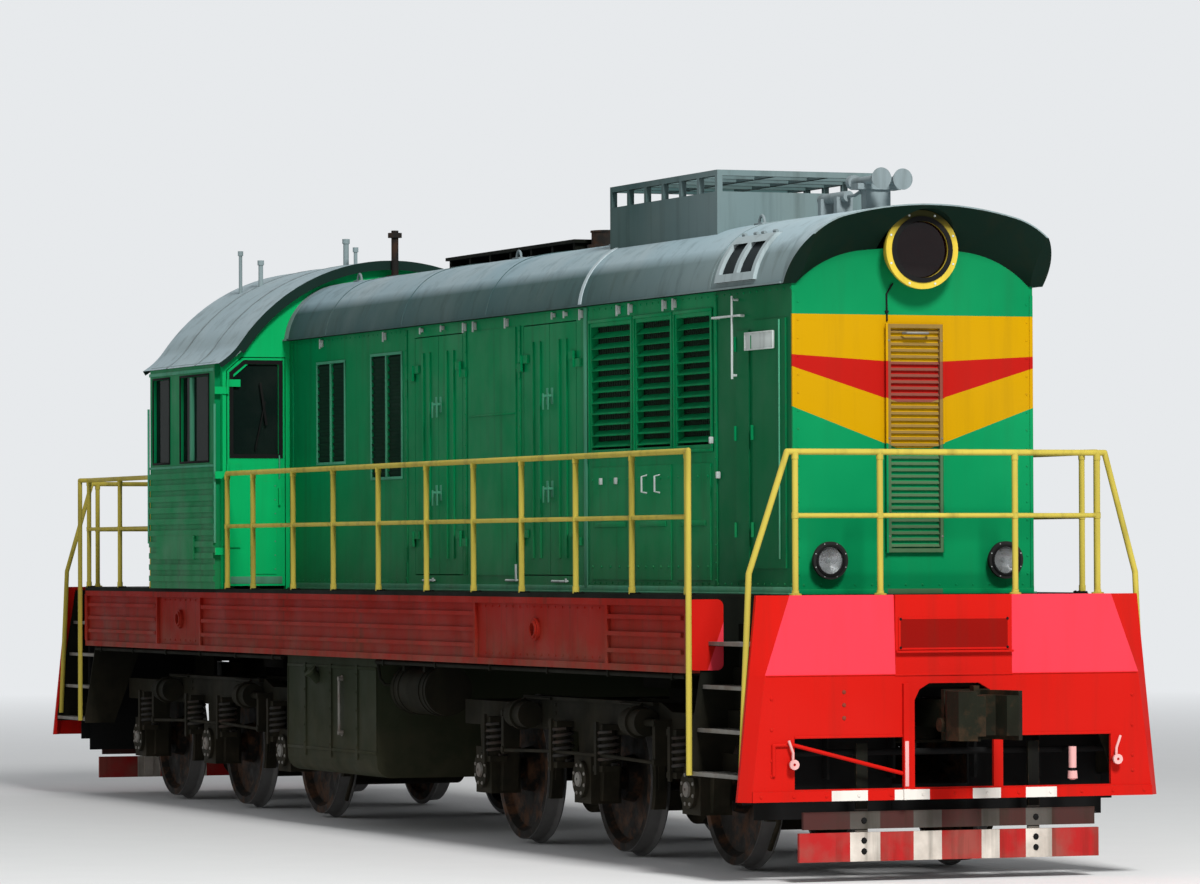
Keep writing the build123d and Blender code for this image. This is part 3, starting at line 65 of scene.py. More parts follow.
# Other places that they share: outer faces of the end walls and aprons, and the axles
FACE_X = 7.387
APRON_X = 8.0
CAB_FRONT_X = -3.040
CAB_REAR_X = -4.966
CAB_SIDE = 1.515
BOGIE_X = 4.33
AXLE_PITCH = 2.0
AXLE_Z = 0.553


class LocoColours(bpy.types.PropertyGroup):
    """Colours of the locomotive's paints and of its stage."""

    hood: bpy.props.FloatVectorProperty(
        name="Hood green",
        description="Main body colour",
        subtype="COLOR",
        size=3,
        default=(0.002, 0.225, 0.075),
    )
    roof: bpy.props.FloatVectorProperty(
        name="Roof grey",
        description="Roof colour",
        subtype="COLOR",
        size=3,
        default=(0.29, 0.40, 0.44),
    )
    apron: bpy.props.FloatVectorProperty(
        name="Apron red",
        description="End plates",
        subtype="COLOR",
        size=3,
        default=(0.54, 0.010, 0.006),
    )
    # Red of the upper apron panels, painted paler as painted sky light on their leaning faces
    apron_sunlit: bpy.props.FloatVectorProperty(
        name="Sunlit red",
        description="Faded upper apron panels",
        subtype="COLOR",
        size=3,
        default=(0.80, 0.045, 0.07),
    )
    sill: bpy.props.FloatVectorProperty(
        name="Sill red",
        description="Dusty side sills",
        subtype="COLOR",
        size=3,
        default=(0.30, 0.014, 0.008),
    )
    railing: bpy.props.FloatVectorProperty(
        name="Railing yellow",
        description="Handrails",
        subtype="COLOR",
        size=3,
        default=(0.52, 0.42, 0.07),
    )
    stripe_yellow: bpy.props.FloatVectorProperty(
        name="Stripe yellow",
        description="Yellow bands on the face",
        subtype="COLOR",
        size=3,
        default=(0.50, 0.27, 0.0),
    )
    stripe_red: bpy.props.FloatVectorProperty(
        name="Stripe red",
        description="Red band on the face",
        subtype="COLOR",
        size=3,
        default=(0.40, 0.008, 0.005),
    )
    black: bpy.props.FloatVectorProperty(
        name="Underframe black",
        description="Frame and bogies",
        subtype="COLOR",
        size=3,
        default=(0.008, 0.009, 0.007),
    )
    floor: bpy.props.FloatVectorProperty(
        name="Floor",
        description="Pale studio floor",
        subtype="COLOR",
        size=3,
        default=(0.80, 0.80, 0.79),
    )


class LocoSizes(bpy.types.PropertyGroup):
    """Sizes of the small fittings."""

    rivet: bpy.props.FloatProperty(
        name="Rivet radius",
        description="Radius of the panel rivets",
        default=0.009,
        min=0.004,
        max=0.02,
        unit="LENGTH",
    )
    seam: bpy.props.FloatProperty(
        name="Seam strip",
        description="Width of the cover strips",
        default=0.045,
        min=0.02,
        max=0.1,
        unit="LENGTH",
    )
    gasket: bpy.props.FloatProperty(
        name="Window rubber",
        description="Width of the window rubber",
        default=0.03,
        min=0.01,
        max=0.06,
        unit="LENGTH",
    )


class Finish:
    """One material's node tree, built with short calls."""

    def __init__(self, name):
        self.material = bpy.data.materials.new(name)
        self.material.use_nodes = True
        self.tree = self.material.node_tree
        self.tree.nodes.clear()
        self.shader = self.tree.nodes.new("ShaderNodeBsdfPrincipled")
        self.surface = self.tree.nodes.new("ShaderNodeOutputMaterial").inputs["Surface"]
        self.tree.links.new(self.shader.outputs["BSDF"], self.surface)
        self.place = self.tree.nodes.new("ShaderNodeTexCoord").outputs["Object"]

    def node(self, kind, **settings):
        """A new shader node of a kind."""
        made = self.tree.nodes.new("ShaderNode" + kind)
        for key, value in settings.items():
            setattr(made, key, value)
        return made

    def feed(self, socket, value):
        """Gives an input socket a value, or links it to an output socket."""
        if isinstance(value, bpy.types.NodeSocket):
            self.tree.links.new(value, socket)
        else:
            socket.default_value = value

    def calc(self, operation, first, second=0.0):
        """One step of arithmetic on values or sockets."""
        made = self.node("Math", operation=operation)
        self.feed(made.inputs[0], first)
        self.feed(made.inputs[1], second)
        return made.outputs[0]

    def axes(self, vector=None):
        """X, Y and Z of a vector, or else of the place on the object."""
        split = self.node("SeparateXYZ")
        self.feed(split.inputs[0], vector or self.place)
        return split.outputs

    def stretched(self, x, y, z):
        """The place on the object, scaled along each axis."""
        made = self.node("Mapping")
        self.feed(made.inputs["Vector"], self.place)
        made.inputs["Scale"].default_value = (x, y, z)
        return made.outputs[0]

    def noise(self, scale, detail=4.0, vector=None, rough=0.55):
        """Cloudy noise between about 0.3 and 0.7."""
        made = self.node("TexNoise")
        self.feed(made.inputs["Vector"], vector or self.place)
        made.inputs["Scale"].default_value = scale
        made.inputs["Detail"].default_value = detail
        made.inputs["Roughness"].default_value = rough
        return made.outputs["Fac"]

    def ramp(self, value, low, high, to_low=0.0, to_high=1.0):
        """A value's range from low to high, mapped to another range and held at its ends."""
        made = self.node("MapRange", clamp=True)
        self.feed(made.inputs["Value"], value)
        made.inputs["From Min"].default_value = low
        made.inputs["From Max"].default_value = high
        made.inputs["To Min"].default_value = to_low
        made.inputs["To Max"].default_value = to_high
        return made.outputs[0]

    def mix(self, factor, first, second):
        """A colour between two colours."""
        made = self.node("Mix", data_type="RGBA")
        self.feed(made.inputs[0], factor)
        self.feed(made.inputs[6], (*first, 1.0) if isinstance(first, tuple) else first)
        self.feed(made.inputs[7], (*second, 1.0) if isinstance(second, tuple) else second)
        return made.outputs[2]

    def bump(self, height, distance, strength=1.0, below=None):
        """A bumped normal, over another bumped normal if one is given."""
        made = self.node("Bump")
        made.inputs["Strength"].default_value = strength
        made.inputs["Distance"].default_value = distance
        self.feed(made.inputs["Height"], height)
        if below is not None:
            self.feed(made.inputs["Normal"], below)
        return made.outputs[0]

    def edges(self, radius):
        """1 on worn edges, from how far a rounded normal turns away from the flat one."""
        rounded = self.node("Bevel", samples=4)
        rounded.inputs["Radius"].default_value = radius
        flat = self.node("NewGeometry").outputs["Normal"]
        dot = self.node("VectorMath", operation="DOT_PRODUCT")
        self.feed(dot.inputs[0], rounded.outputs[0])
        self.feed(dot.inputs[1], flat)
        return self.ramp(dot.outputs["Value"], 0.995, 0.90)

    def above(self, value, limit):
        """1 where a value is above a limit."""
        return self.calc("GREATER_THAN", value, limit)

    def below(self, value, limit):
        """1 where a value is below a limit."""
        return self.calc("LESS_THAN", value, limit)

    def both(self, first, second):
        """1 where two masks are 1, or one mask weakened by a share."""
        return self.calc("MULTIPLY", first, second)

    def inside(self, value, low, high):
        """1 where a value lies between two others."""
        return self.both(self.above(value, low), self.below(value, high))


def tinted(colour, factor):
    """A colour made darker or lighter by a factor."""
    return tuple(min(1.0, channel * factor) for channel in colour)


# Colours of what lies on paint and metal, or shows where they are worn
FADED = (0.45, 0.45, 0.42)
RAIN_STREAK = (0.022, 0.024, 0.014)
DUST = (0.13, 0.10, 0.065)
CHIPPED = (0.10, 0.055, 0.03)
RUST = (0.11, 0.05, 0.025)
GREASE = (0.012, 0.01, 0.008)
GLASS_DUST = (0.10, 0.10, 0.09)
FAN_SOOT = (0.10, 0.085, 0.06)


def painted(name, base, dirt=0.35, gloss=0.3, dents=0.0, chips=0.3, colour=None, low_dust=None):
    """Enamel over sheet metal: fading, rain streaks, dust low down and chipped edges.

    colour takes the Finish and returns a socket, where the paint has more than one colour.
    low_dust holds the height where dust is thickest, the one where it ends, and its share.
    """
    finish = Finish(name)
    base = tuple(base)
    fading = finish.ramp(finish.noise(0.9, 3.0), 0.35, 0.7)
    if colour is None:
        paint = finish.mix(fading, tinted(base, 0.88), tinted(base, 1.1))
    else:
        paint = colour(finish)
        faded = finish.mix(0.015, paint, FADED)
        paint = finish.mix(finish.both(fading, 0.5), paint, faded)
    streak = finish.noise(1.0, 5.0, finish.stretched(9.0, 9.0, 0.55), 0.6)
    streak = finish.ramp(streak, 0.50, 0.72, 0.0, dirt)
    paint = finish.mix(streak, paint, RAIN_STREAK)
    if low_dust:
        thick_z, end_z, share = low_dust
        dust = finish.ramp(finish.axes()[2], end_z, thick_z)
        dust = finish.both(dust, finish.ramp(finish.noise(5.0, 6.0), 0.35, 0.65, 0.1, share))
        paint = finish.mix(dust, paint, DUST)
    if chips:
        patchy = finish.ramp(finish.noise(28.0, 5.0), 0.5, 0.62)
        worn = finish.both(finish.both(finish.edges(0.006), patchy), chips)
        paint = finish.mix(worn, paint, CHIPPED)
    finish.feed(finish.shader.inputs["Base Color"], paint)
    rough = finish.ramp(finish.noise(3.0, 5.0), 0.3, 0.7, gloss, gloss + 0.22)
    finish.feed(finish.shader.inputs["Roughness"], rough)
    finish.shader.inputs["Specular IOR Level"].default_value = 0.02
    skin = finish.bump(finish.noise(160.0, 2.0), 0.0004, 0.25)
    if dents:
        skin = finish.bump(finish.noise(1.6, 2.0), dents, 1.0, skin)
    finish.feed(finish.shader.inputs["Normal"], skin)
    return finish.material


def raw_metal(name, base, rust, roughness, metallic, grease=0.0, worn=None):
    """Bare or oily metal with rust in patches.

    worn takes the Finish and the colour so far and returns the colour with its bright places.
    """
    finish = Finish(name)
    patches = finish.ramp(finish.noise(6.0, 8.0, rough=0.65), 0.48, 0.62, 0.0, rust)
    colour = finish.mix(patches, base, RUST)
    grime = finish.ramp(finish.noise(2.2, 6.0), 0.4, 0.7, 0.0, grease)
    colour = finish.mix(grime, colour, GREASE)
    if worn:
        colour = worn(finish, colour)
    finish.feed(finish.shader.inputs["Base Color"], colour)
    finish.feed(finish.shader.inputs["Metallic"], finish.ramp(patches, 0.0, 1.0, metallic, 0.0))
    rough = finish.ramp(finish.noise(9.0), 0.3, 0.7, roughness, roughness + 0.25)
    finish.feed(finish.shader.inputs["Roughness"], rough)
    finish.shader.inputs["Specular IOR Level"].default_value = 0.05
    finish.feed(finish.shader.inputs["Normal"], finish.bump(finish.noise(45.0, 6.0), 0.002, 0.5))
    return finish.material


def bright_treads(tread):
    """Wheel treads worn bright, whichever of the six axles the wheel is on."""

    def worn(finish, colour):
        x, _, z = finish.axes()
        # How far along from the nearest of a bogie's axles, which stand one pitch apart
        first = BOGIE_X - 1.5 * AXLE_PITCH
        along = finish.calc("SUBTRACT", finish.calc("ABSOLUTE", x), first)
        along = finish.calc("SUBTRACT", finish.calc("MODULO", along, AXLE_PITCH), AXLE_PITCH / 2)
        up = finish.calc("SUBTRACT", z, AXLE_Z)
        squares = finish.calc("ADD", finish.calc("MULTIPLY", along, along), finish.calc("MULTIPLY", up, up))
        on_tread = finish.ramp(finish.calc("SQRT", squares), 0.512, 0.520)
        return finish.mix(on_tread, colour, tread)

    return worn


# Glass above this height belongs to the searchlights
HIGH_GLASS_Z = 3.5


def glass(name, tint, clear, bend, roughness=0.04, high_tint=None):
    """Dusty glass that shows what is behind it darkly; the searchlights' glass may take a painted dark
    reflection.
    """
    finish = Finish(name)
    dust = finish.ramp(finish.noise(4.0, 6.0), 0.45, 0.75, 0.0, 0.12)
    if high_tint:
        tint = finish.mix(finish.above(finish.axes()[2], HIGH_GLASS_Z), tint, high_tint)
    finish.feed(finish.shader.inputs["Base Color"], finish.mix(dust, tint, GLASS_DUST))
    finish.feed(finish.shader.inputs["Roughness"], finish.ramp(dust, 0.0, 0.22, roughness, 0.35))
    finish.shader.inputs["Transmission Weight"].default_value = clear
    finish.shader.inputs["IOR"].default_value = bend
    return finish.material


# Height of the face's bands: the top edge, and each lower edge at the middle and at the side
BANDS_TOP = 3.721
BAND_EDGES = ((3.409, 3.453), (3.143, 3.374), (2.837, 3.110))


def face_stripes(hood, yellow, red):
    """Yellow, red and yellow bands with points down across the hood's end face, with painted shade at its top
    and sides.
    """

    def colour(finish):
        x, y, z = finish.axes()
        across = finish.calc("DIVIDE", finish.calc("ABSOLUTE", y), HOOD_SIDE)
        across = finish.ramp(across, 0.14, 1.0)
        levels = [BANDS_TOP] + [finish.ramp(across, 0.0, 1.0, middle, side) for middle, side in BAND_EDGES]
        fading = finish.ramp(finish.noise(0.9, 3.0), 0.35, 0.7)
        paint = finish.mix(fading, tinted(hood, 0.92), tinted(hood, 1.14))
        on_face = finish.above(x, FACE_X - 0.01)
        # Painted shade: the face darkens towards its top, and the front section's sides are a darker green.
        paint = finish.mix(finish.ramp(z, 3.2, 4.1, 0.0, 0.3), paint, tinted(hood, 0.4))
        paint = finish.mix(on_face, tinted(hood, 0.55), paint)
        for band, tone in zip(zip(levels[1:], levels), (yellow, red, yellow)):
            paint = finish.mix(finish.both(finish.inside(z, *band), on_face), paint, tone)
        # Soot from the fan dulls the louvred panel.
        louvres = finish.both(finish.inside(y, -0.2, 0.2), finish.above(x, FACE_X + 0.005))
        return finish.mix(finish.both(louvres, 0.65), paint, FAN_SOOT)

    return colour


# White blocks of the warning stripes, low and high edge across the track
FOOT_BLOCKS = ((-0.883, -0.627), (-0.435, -0.184), (0.126, 0.329), (0.511, 0.737))
BOARD_BLOCKS = ((-0.720, -0.505), (-0.266, -0.063), (0.224, 0.355), (0.546, 0.737))


def white_blocks(finish, blocks):
    """1 on the white blocks of a row of warning stripes."""
    y = finish.axes()[1]
    mask = 0.0
    for low, high in blocks:
        mask = finish.calc("ADD", mask, finish.inside(y, low, high))
    return mask


# Recessed plate in the middle of each apron, and where the apron's face bends back
PLATE_HALF = 0.385
PLATE_LOW = 1.522
PLATE_HIGH = 1.709
BEND_Z = 1.350


def apron_paint(red, pale):
    """Bright red end plate whose upper panels are painted paler, as painted sky light where its upper half
    leans back.
    """

    def colour(finish):
        x, y, z = finish.axes()
        x = finish.calc("ABSOLUTE", x)
        y = finish.calc("ABSOLUTE", y)
        # The pale panels' outer edge leans inwards above the bend.
        outer = finish.ramp(z, BEND_Z, DECK_Z, 1.346, 1.160)
        panel = finish.both(finish.inside(y, 0.421, outer), finish.above(z, BEND_Z + 0.001))
        # The paler red of the upper panels is painted sky light.
        paint = finish.mix(panel, red, pale)
        plate = finish.both(finish.below(y, PLATE_HALF + 0.001), finish.inside(z, PLATE_LOW, PLATE_HIGH))
        paint = finish.mix(plate, paint, tinted(red, 0.45))
        foot = finish.both(finish.inside(z, 0.530, 0.603), finish.above(x, APRON_X + 0.005))
        return finish.mix(finish.both(foot, white_blocks(finish, FOOT_BLOCKS)), paint, (0.74, 0.70, 0.64))

    return colour


def board_stripes(red, white):
    """Red and white blocks along the rail guard's lower board, soiled, with painted shade on the upper board
    and straps.
    """

    def colour(finish):
        _, y, z = finish.axes()
        paint = finish.mix(white_blocks(finish, BOARD_BLOCKS), red, white)
        soiled = finish.ramp(finish.noise(3.0, 6.0), 0.4, 0.62)
        paint = finish.mix(finish.both(soiled, 0.45), paint, (0.17, 0.13, 0.10))
        # Painted shade: the upper board and the straps are made dark.
        upper = finish.both(finish.above(z, 0.335), 0.9)
        paint = finish.mix(upper, paint, (0.030, 0.027, 0.024))
        strap_shade = finish.inside(finish.calc("ABSOLUTE", y), 0.54, 0.70)
        return finish.mix(finish.both(strap_shade, finish.above(z, 0.475)), paint, (0.008, 0.008, 0.007))

    return colour


# Hatches in the hood roof's front: frame and panes along the hood, and their heights
HATCH_X = (6.225, 6.902)
HATCH_Z = (3.966, 4.293)
HATCH_PANES_X = ((6.285, 6.536), (6.591, 6.842))
HATCH_PANES_Z = (4.026, 4.233)


def roof_tones(roof, shoulder, soffit_shade):
    """Sky-lit grey on top, with painted shade: darker, greener shoulders and a dark underside at the visor.
    """

    def colour(finish):
        x, _, z = finish.axes()
        up = finish.axes(finish.node("NewGeometry").outputs["Normal"])[2]
        # Painted shade: the steeper the roof, the darker and greener it is painted, also in the cloudy tones.
        steep_shade = finish.ramp(up, 0.66, 0.50)
        paint = finish.mix(steep_shade, roof, shoulder)
        cloudy = finish.ramp(finish.noise(1.3, 5.0), 0.42, 0.66, 0.0, 0.5)
        paint = finish.mix(cloudy, paint, finish.mix(steep_shade, (0.40, 0.47, 0.48), (0.09, 0.13, 0.12)))
        # The hood roof's front and the cab's roof are paler.
        ahead = finish.ramp(x, 4.0, 6.5, 0.0, 0.30)
        over_cab = finish.both(finish.below(x, -2.93), 0.40)
        paint = finish.mix(finish.calc("MAXIMUM", ahead, over_cab), paint, (0.58, 0.68, 0.70))
        hatch = finish.both(finish.inside(x, *HATCH_X), finish.inside(z, *HATCH_Z))
        paint = finish.mix(hatch, paint, (0.36, 0.43, 0.44))
        panes = finish.calc("ADD", *(finish.inside(x, *edges) for edges in HATCH_PANES_X))
        panes = finish.both(panes, finish.inside(z, *HATCH_PANES_Z))
        paint = finish.mix(panes, paint, (0.018, 0.024, 0.026))
        # Painted shade on surfaces that face down, under the visor.
        return finish.mix(finish.below(up, -0.2), paint, soffit_shade)

    return colour


def lamp_tones(rim_colour, dark):
    """Yellow housings, shaded on top, for the searchlights and dark ones for the lower lamps."""

    def colour(finish):
        z = finish.axes()[2]
        shaded = finish.mix(finish.ramp(z, 4.20, 4.36), rim_colour, (0.035, 0.035, 0.012))
        return finish.mix(finish.below(z, 2.6), shaded, dark)

    return colour


# Turned solids are made about this direction; edges that bend by more than the angle stay sharp
UPRIGHT = Vector((0, 0, 1))
SHARP_ANGLE = math.radians(40.0)


class Kit:
    """Collects simple solids into one mesh piece."""

    def __init__(self):
        self.mesh = bmesh.new()

    def block(self, corner, opposite, turn=None, bevel=0.0):
        """A block between two opposite corners, turned about its centre, with rounded edges."""
        low = Vector([min(pair) for pair in zip(corner, opposite)])
        high = Vector([max(pair) for pair in zip(corner, opposite)])
        spin = Euler(turn).to_matrix().to_4x4() if turn else Matrix.Identity(4)
        place = Matrix.Translation((low + high) / 2) @ spin @ Matrix.Diagonal((*(high - low), 1.0))
        made = bmesh.ops.create_cube(self.mesh, size=1.0, matrix=place)
        if bevel:
            edges = list({edge for vert in made["verts"] for edge in vert.link_edges})
            bmesh.ops.bevel(self.mesh, geom=edges, offset=bevel, segments=2, affect="EDGES", profile=0.5)
        return self

    def rounded_plate(self, low, high, radius, steps=6):
        """A plate across the track with rounded corners."""
        (x0, y0, z0), (x1, y1, z1) = low, high
        outline = []
        for y, z, start in ((y1, z1, 0), (y0, z1, 90), (y0, z0, 180), (y1, z0, 270)):
            centre_y = y - radius if y == y1 else y + radius
            centre_z = z - radius if z == z1 else z + radius
            for step in range(steps + 1):
                angle = math.radians(start + 90 * step / steps)
                outline.append((centre_y + radius * math.cos(angle), centre_z + radius * math.sin(angle)))
        rings = [[self.mesh.verts.new((x, y, z)) for y, z in outline] for x in (x0, x1)]
        for index in range(len(outline)):
            following = (index + 1) % len(outline)
            self.mesh.faces.new((rings[0][index], rings[0][following], rings[1][following], rings[1][index]))
        self.mesh.faces.new(reversed(rings[0]))
        self.mesh.faces.new(rings[1])
        return self

    def bar(self, start, end, radius, sides=12):
        """A straight round bar between two points."""
        start = Vector(start)
        along = Vector(end) - start
        spin = UPRIGHT.rotation_difference(along).to_matrix().to_4x4()
        bmesh.ops.create_cone(
            self.mesh,
            cap_ends=True,
            segments=sides,
            radius1=radius,
            radius2=radius,
            depth=along.length,
            matrix=Matrix.Translation(start + along / 2) @ spin,
        )
        return self

    def tube(self, points, radius, sides=10):
        """A round tube along points, joined at each bend."""
        points = [Vector(point) for point in points]
        rings = []
        up = None
        for index, point in enumerate(points):
            ahead = points[min(index + 1, len(points) - 1)]
            behind = points[max(index - 1, 0)]
            along = (ahead - behind).normalized()
            if up is None:
                up = along.orthogonal().normalized()
            else:
                up = (up - along * up.dot(along)).normalized()
            side = along.cross(up)
            ring = []
            for step in range(sides):
                angle = math.tau * step / sides
                outward = up * math.cos(angle) + side * math.sin(angle)
                ring.append(self.mesh.verts.new(point + radius * outward))
            rings.append(ring)
        for first, second in zip(rings, rings[1:]):
            for step in range(sides):
                following = (step + 1) % sides
                self.mesh.faces.new((first[step], first[following], second[following], second[step]))
        self.mesh.faces.new(reversed(rings[0]))
        self.mesh.faces.new(rings[-1])
        return self

    def lathe(self, centre, axis, profile, sides):
        """A closed section of (radius, along) points turned about an axis."""
        spin = UPRIGHT.rotation_difference(Vector(axis)).to_matrix()
        centre = Vector(centre)
        rings = []
        for step in range(sides):
            angle = math.tau * step / sides
            ring = []
            for radius, along in profile:
                local = Vector((radius * math.cos(angle), radius * math.sin(angle), along))
                ring.append(self.mesh.verts.new(centre + spin @ local))
            rings.append(ring)
        for here, there in zip(rings, rings[1:] + rings[:1]):
            for index in range(len(profile)):
                following = (index + 1) % len(profile)
                self.mesh.faces.new((here[index], there[index], there[following], here[following]))
        return self

    def ring(self, centre, axis, inner, outer, low, high, sides):
        """A flat ring or sleeve between two radii and two places along its axis."""
        return self.lathe(centre, axis, [(inner, low), (outer, low), (outer, high), (inner, high)], sides)

    def dome(self, centre, axis, radius, sides=8):
        """A low rivet head."""
        edge = radius * 0.02
        profile = [(radius, 0.0), (radius * 0.75, radius * 0.38), (edge, radius * 0.55), (edge, 0.0)]
        return self.lathe(centre, axis, profile, sides)

    def twin(self):
        """Doubles all solids, and returns the copies' points and faces."""
        solids = self.mesh.verts[:] + self.mesh.edges[:] + self.mesh.faces[:]
        copies = bmesh.ops.duplicate(self.mesh, geom=solids)["geom"]
        verts = [item for item in copies if isinstance(item, bmesh.types.BMVert)]
        faces = [item for item in copies if isinstance(item, bmesh.types.BMFace)]
        return verts, faces

    def half_turn(self, x, verts=None):
        """Turns the solids, or some of their points, to the other side of an upright line at x."""
        spin = Matrix.Rotation(math.pi, 3, "Z")
        bmesh.ops.rotate(self.mesh, cent=(x, 0, 0), matrix=spin, verts=verts or self.mesh.verts[:])

    def half_turned_twin(self, x):
        """Adds a copy of all solids on the other side of an upright line at x."""
        verts, _ = self.twin()
        self.half_turn(x, verts)

    def piece(self, name, material, body="root", mirror_y=False, ends=False):
        """The collected solids as one object that rides on a body, also mirrored or at both ends."""
        if mirror_y:
            verts, faces = self.twin()
            bmesh.ops.scale(self.mesh, vec=(1, -1, 1), verts=verts)
            bmesh.ops.reverse_faces(self.mesh, faces=faces)
        if ends:
            self.half_turned_twin(0.0)
        bmesh.ops.recalc_face_normals(self.mesh, faces=self.mesh.faces)
        data = bpy.data.meshes.new(name)
        self.mesh.to_mesh(data)
        self.mesh.free()
        data.materials.append(material)
        for polygon in data.polygons:
            polygon.use_smooth = True
        data.set_sharp_from_angle(angle=SHARP_ANGLE)
        made = bpy.data.objects.new(name, data)
        bpy.context.scene.collection.objects.link(made)
        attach(made, body)
        return made


def material(name):
    """The finish of that name."""
    return bpy.data.materials[name]


# Finish of each carried-over node, by how its name starts; the others get the hood's paint
NODE_FINISHES = (
    ("hood_front_section", "face_paint"),
    ("hood_roof", "roof_paint"),
    # The cab's end walls and doors take a brighter copy of the body green, painted sunlight.
    ("cab_front_wall", "cab_end_sunlit_paint"),
    ("cab_door", "cab_end_sunlit_paint"),
    ("cab_roof", "roof_paint"),
    ("fan_shutter", "roof_paint"),
    ("aprons", "apron_paint"),
    ("side_sills", "sill_paint"),
    ("side_railings", "railing_paint"),
    ("end_railings", "railing_paint"),
    ("rail_guards", "board_paint"),
    ("main_frame", "frame_paint"),
    ("stairs", "frame_paint"),
    ("bogie", "frame_paint"),
    ("air_reservoirs", "frame_paint"),
    ("fuel_tank", "tank_paint"),
    ("wheelset", "wheel_iron"),
    ("coupler", "coupler_iron"),
    ("engine_block", "engine_iron"),
    ("cooling_fan", "engine_iron"),
    ("exhaust", "soot_iron"),
    ("roof_walkway", "frame_paint"),
    ("horns", "pipe_grey"),
    ("lamp_housings", "lamp_rims"),
    ("lamp_lenses", "lamp_pane"),
    ("cab_windows", "cab_glass"),
    ("door_pane", "cab_glass"),
    ("control_desk", "desk_enamel"),
    ("cab_seats", "frame_paint"),
    ("seat_cushions", "seat_cover"),
)


def body_paints(tones):
    """Paints of the hood, cab, roof, end plates, sills and railings."""
    hood = tuple(tones.hood)
    red = tuple(tones.apron)
    deck_dust = (DECK_Z, DECK_Z + 0.9)
    stripes = face_stripes(hood, tuple(tones.stripe_yellow), tuple(tones.stripe_red))
    # Roof grey, the shoulders' painted shade and the painted shade under the visor
    roof = roof_tones(tuple(tones.roof), (0.055, 0.105, 0.105), (0.006, 0.02, 0.014))
    apron = apron_paint(red, tuple(tones.apron_sunlit))
    board = board_stripes((0.42, 0.02, 0.02), (0.72, 0.66, 0.58))
    lamps = lamp_tones((0.62, 0.46, 0.05), (0.02, 0.02, 0.02))
    painted("hood_paint", hood, dirt=0.30, dents=0.012, low_dust=(*deck_dust, 0.16))
    # Brighter copy of the body green for the cab's end walls and doors: painted sunlight
    painted("cab_end_sunlit_paint", (0.004, 0.47, 0.135), dirt=0.10, dents=0.006)
    painted("face_paint", hood, dirt=0.10, dents=0.01, colour=stripes)
    painted("roof_paint", tones.roof, dirt=0.28, gloss=0.45, dents=0.01, colour=roof)
    painted("apron_paint", red, dirt=0.14, dents=0.004, colour=apron)
    painted("sill_paint", tones.sill, dirt=0.45, gloss=0.4, dents=0.006, low_dust=(1.3, 1.75, 0.5))
    painted("railing_paint", tones.railing, dirt=0.35, chips=0.8)
    painted("board_paint", red, dirt=0.5, gloss=0.5, chips=0.8, colour=board)
    painted("lamp_rims", (0.72, 0.50, 0.06), dirt=0.2, chips=0.2, colour=lamps)
    painted("pale_green", (0.075, 0.32, 0.19), dirt=0.35, gloss=0.4, low_dust=(*deck_dust, 0.3))


def other_paints(tones):
    """Paints of the underframe and of the small fittings, and the rubber and the seats' cover."""
    tank_dust = (0.3, 1.2, 0.3)
    painted("frame_paint", tones.black, dirt=0.3, gloss=0.55, chips=0.0, low_dust=(0.2, 1.5, 0.25))
    painted("tank_paint", (0.022, 0.028, 0.016), dirt=0.6, gloss=0.5, dents=0.006, low_dust=tank_dust)
    painted("pipe_grey", (0.24, 0.29, 0.30), dirt=0.35, gloss=0.45)
    painted("pale_paint", (0.55, 0.60, 0.58), dirt=0.4, gloss=0.4, chips=0.4)
    painted("pale_roof", (0.46, 0.54, 0.56), dirt=0.35, gloss=0.45)
    painted("pale_red", (0.80, 0.42, 0.40), dirt=0.35, gloss=0.4)
    # Dark roof edge, and painted shadow under the cab roof's overhang
    painted("edge_dark_and_shade", (0.012, 0.030, 0.024), dirt=0.2, gloss=0.6, chips=0.0)
    # Painted shade inside the side vents
    painted("vent_shade", (0.008, 0.030, 0.018), dirt=0.3, gloss=0.6, chips=0.0)
    painted("radiator_core", (0.020, 0.040, 0.026), dirt=0.5, gloss=0.6, chips=0.0)
    painted("desk_enamel", (0.10, 0.12, 0.11), dirt=0.2, gloss=0.45, chips=0.0)
    painted("seat_cover", (0.012, 0.010, 0.010), dirt=0.1, gloss=0.45, chips=0.0)
    painted("rubber", (0.012, 0.012, 0.012), dirt=0.1, gloss=0.6, chips=0.0)


def metals():
    """Worn steel, oily iron and the lamps' plated metal."""
    treads = bright_treads((0.16, 0.155, 0.15))
    # Metals: name, colour, share of rust, roughness, share of metallic gloss
    raw_metal("worn_steel", (0.22, 0.21, 0.19), 0.35, 0.45, 0.5, grease=0.35)
    raw_metal("spring_steel", (0.055, 0.052, 0.048), 0.3, 0.5, 0.3, grease=0.5)
    raw_metal("wheel_iron", (0.020, 0.018, 0.016), 0.75, 0.55, 0.4, grease=0.5, worn=treads)
    raw_metal("coupler_iron", (0.016, 0.017, 0.011), 0.3, 0.6, 0.4, grease=0.5)
    raw_metal("engine_iron", (0.16, 0.17, 0.17), 0.15, 0.5, 0.3, grease=0.6)
    raw_metal("soot_iron", (0.03, 0.028, 0.026), 0.5, 0.7, 0.3, grease=0.6)
    raw_metal("lamp_chrome", (0.72, 0.71, 0.69), 0.05, 0.16, 1.0)


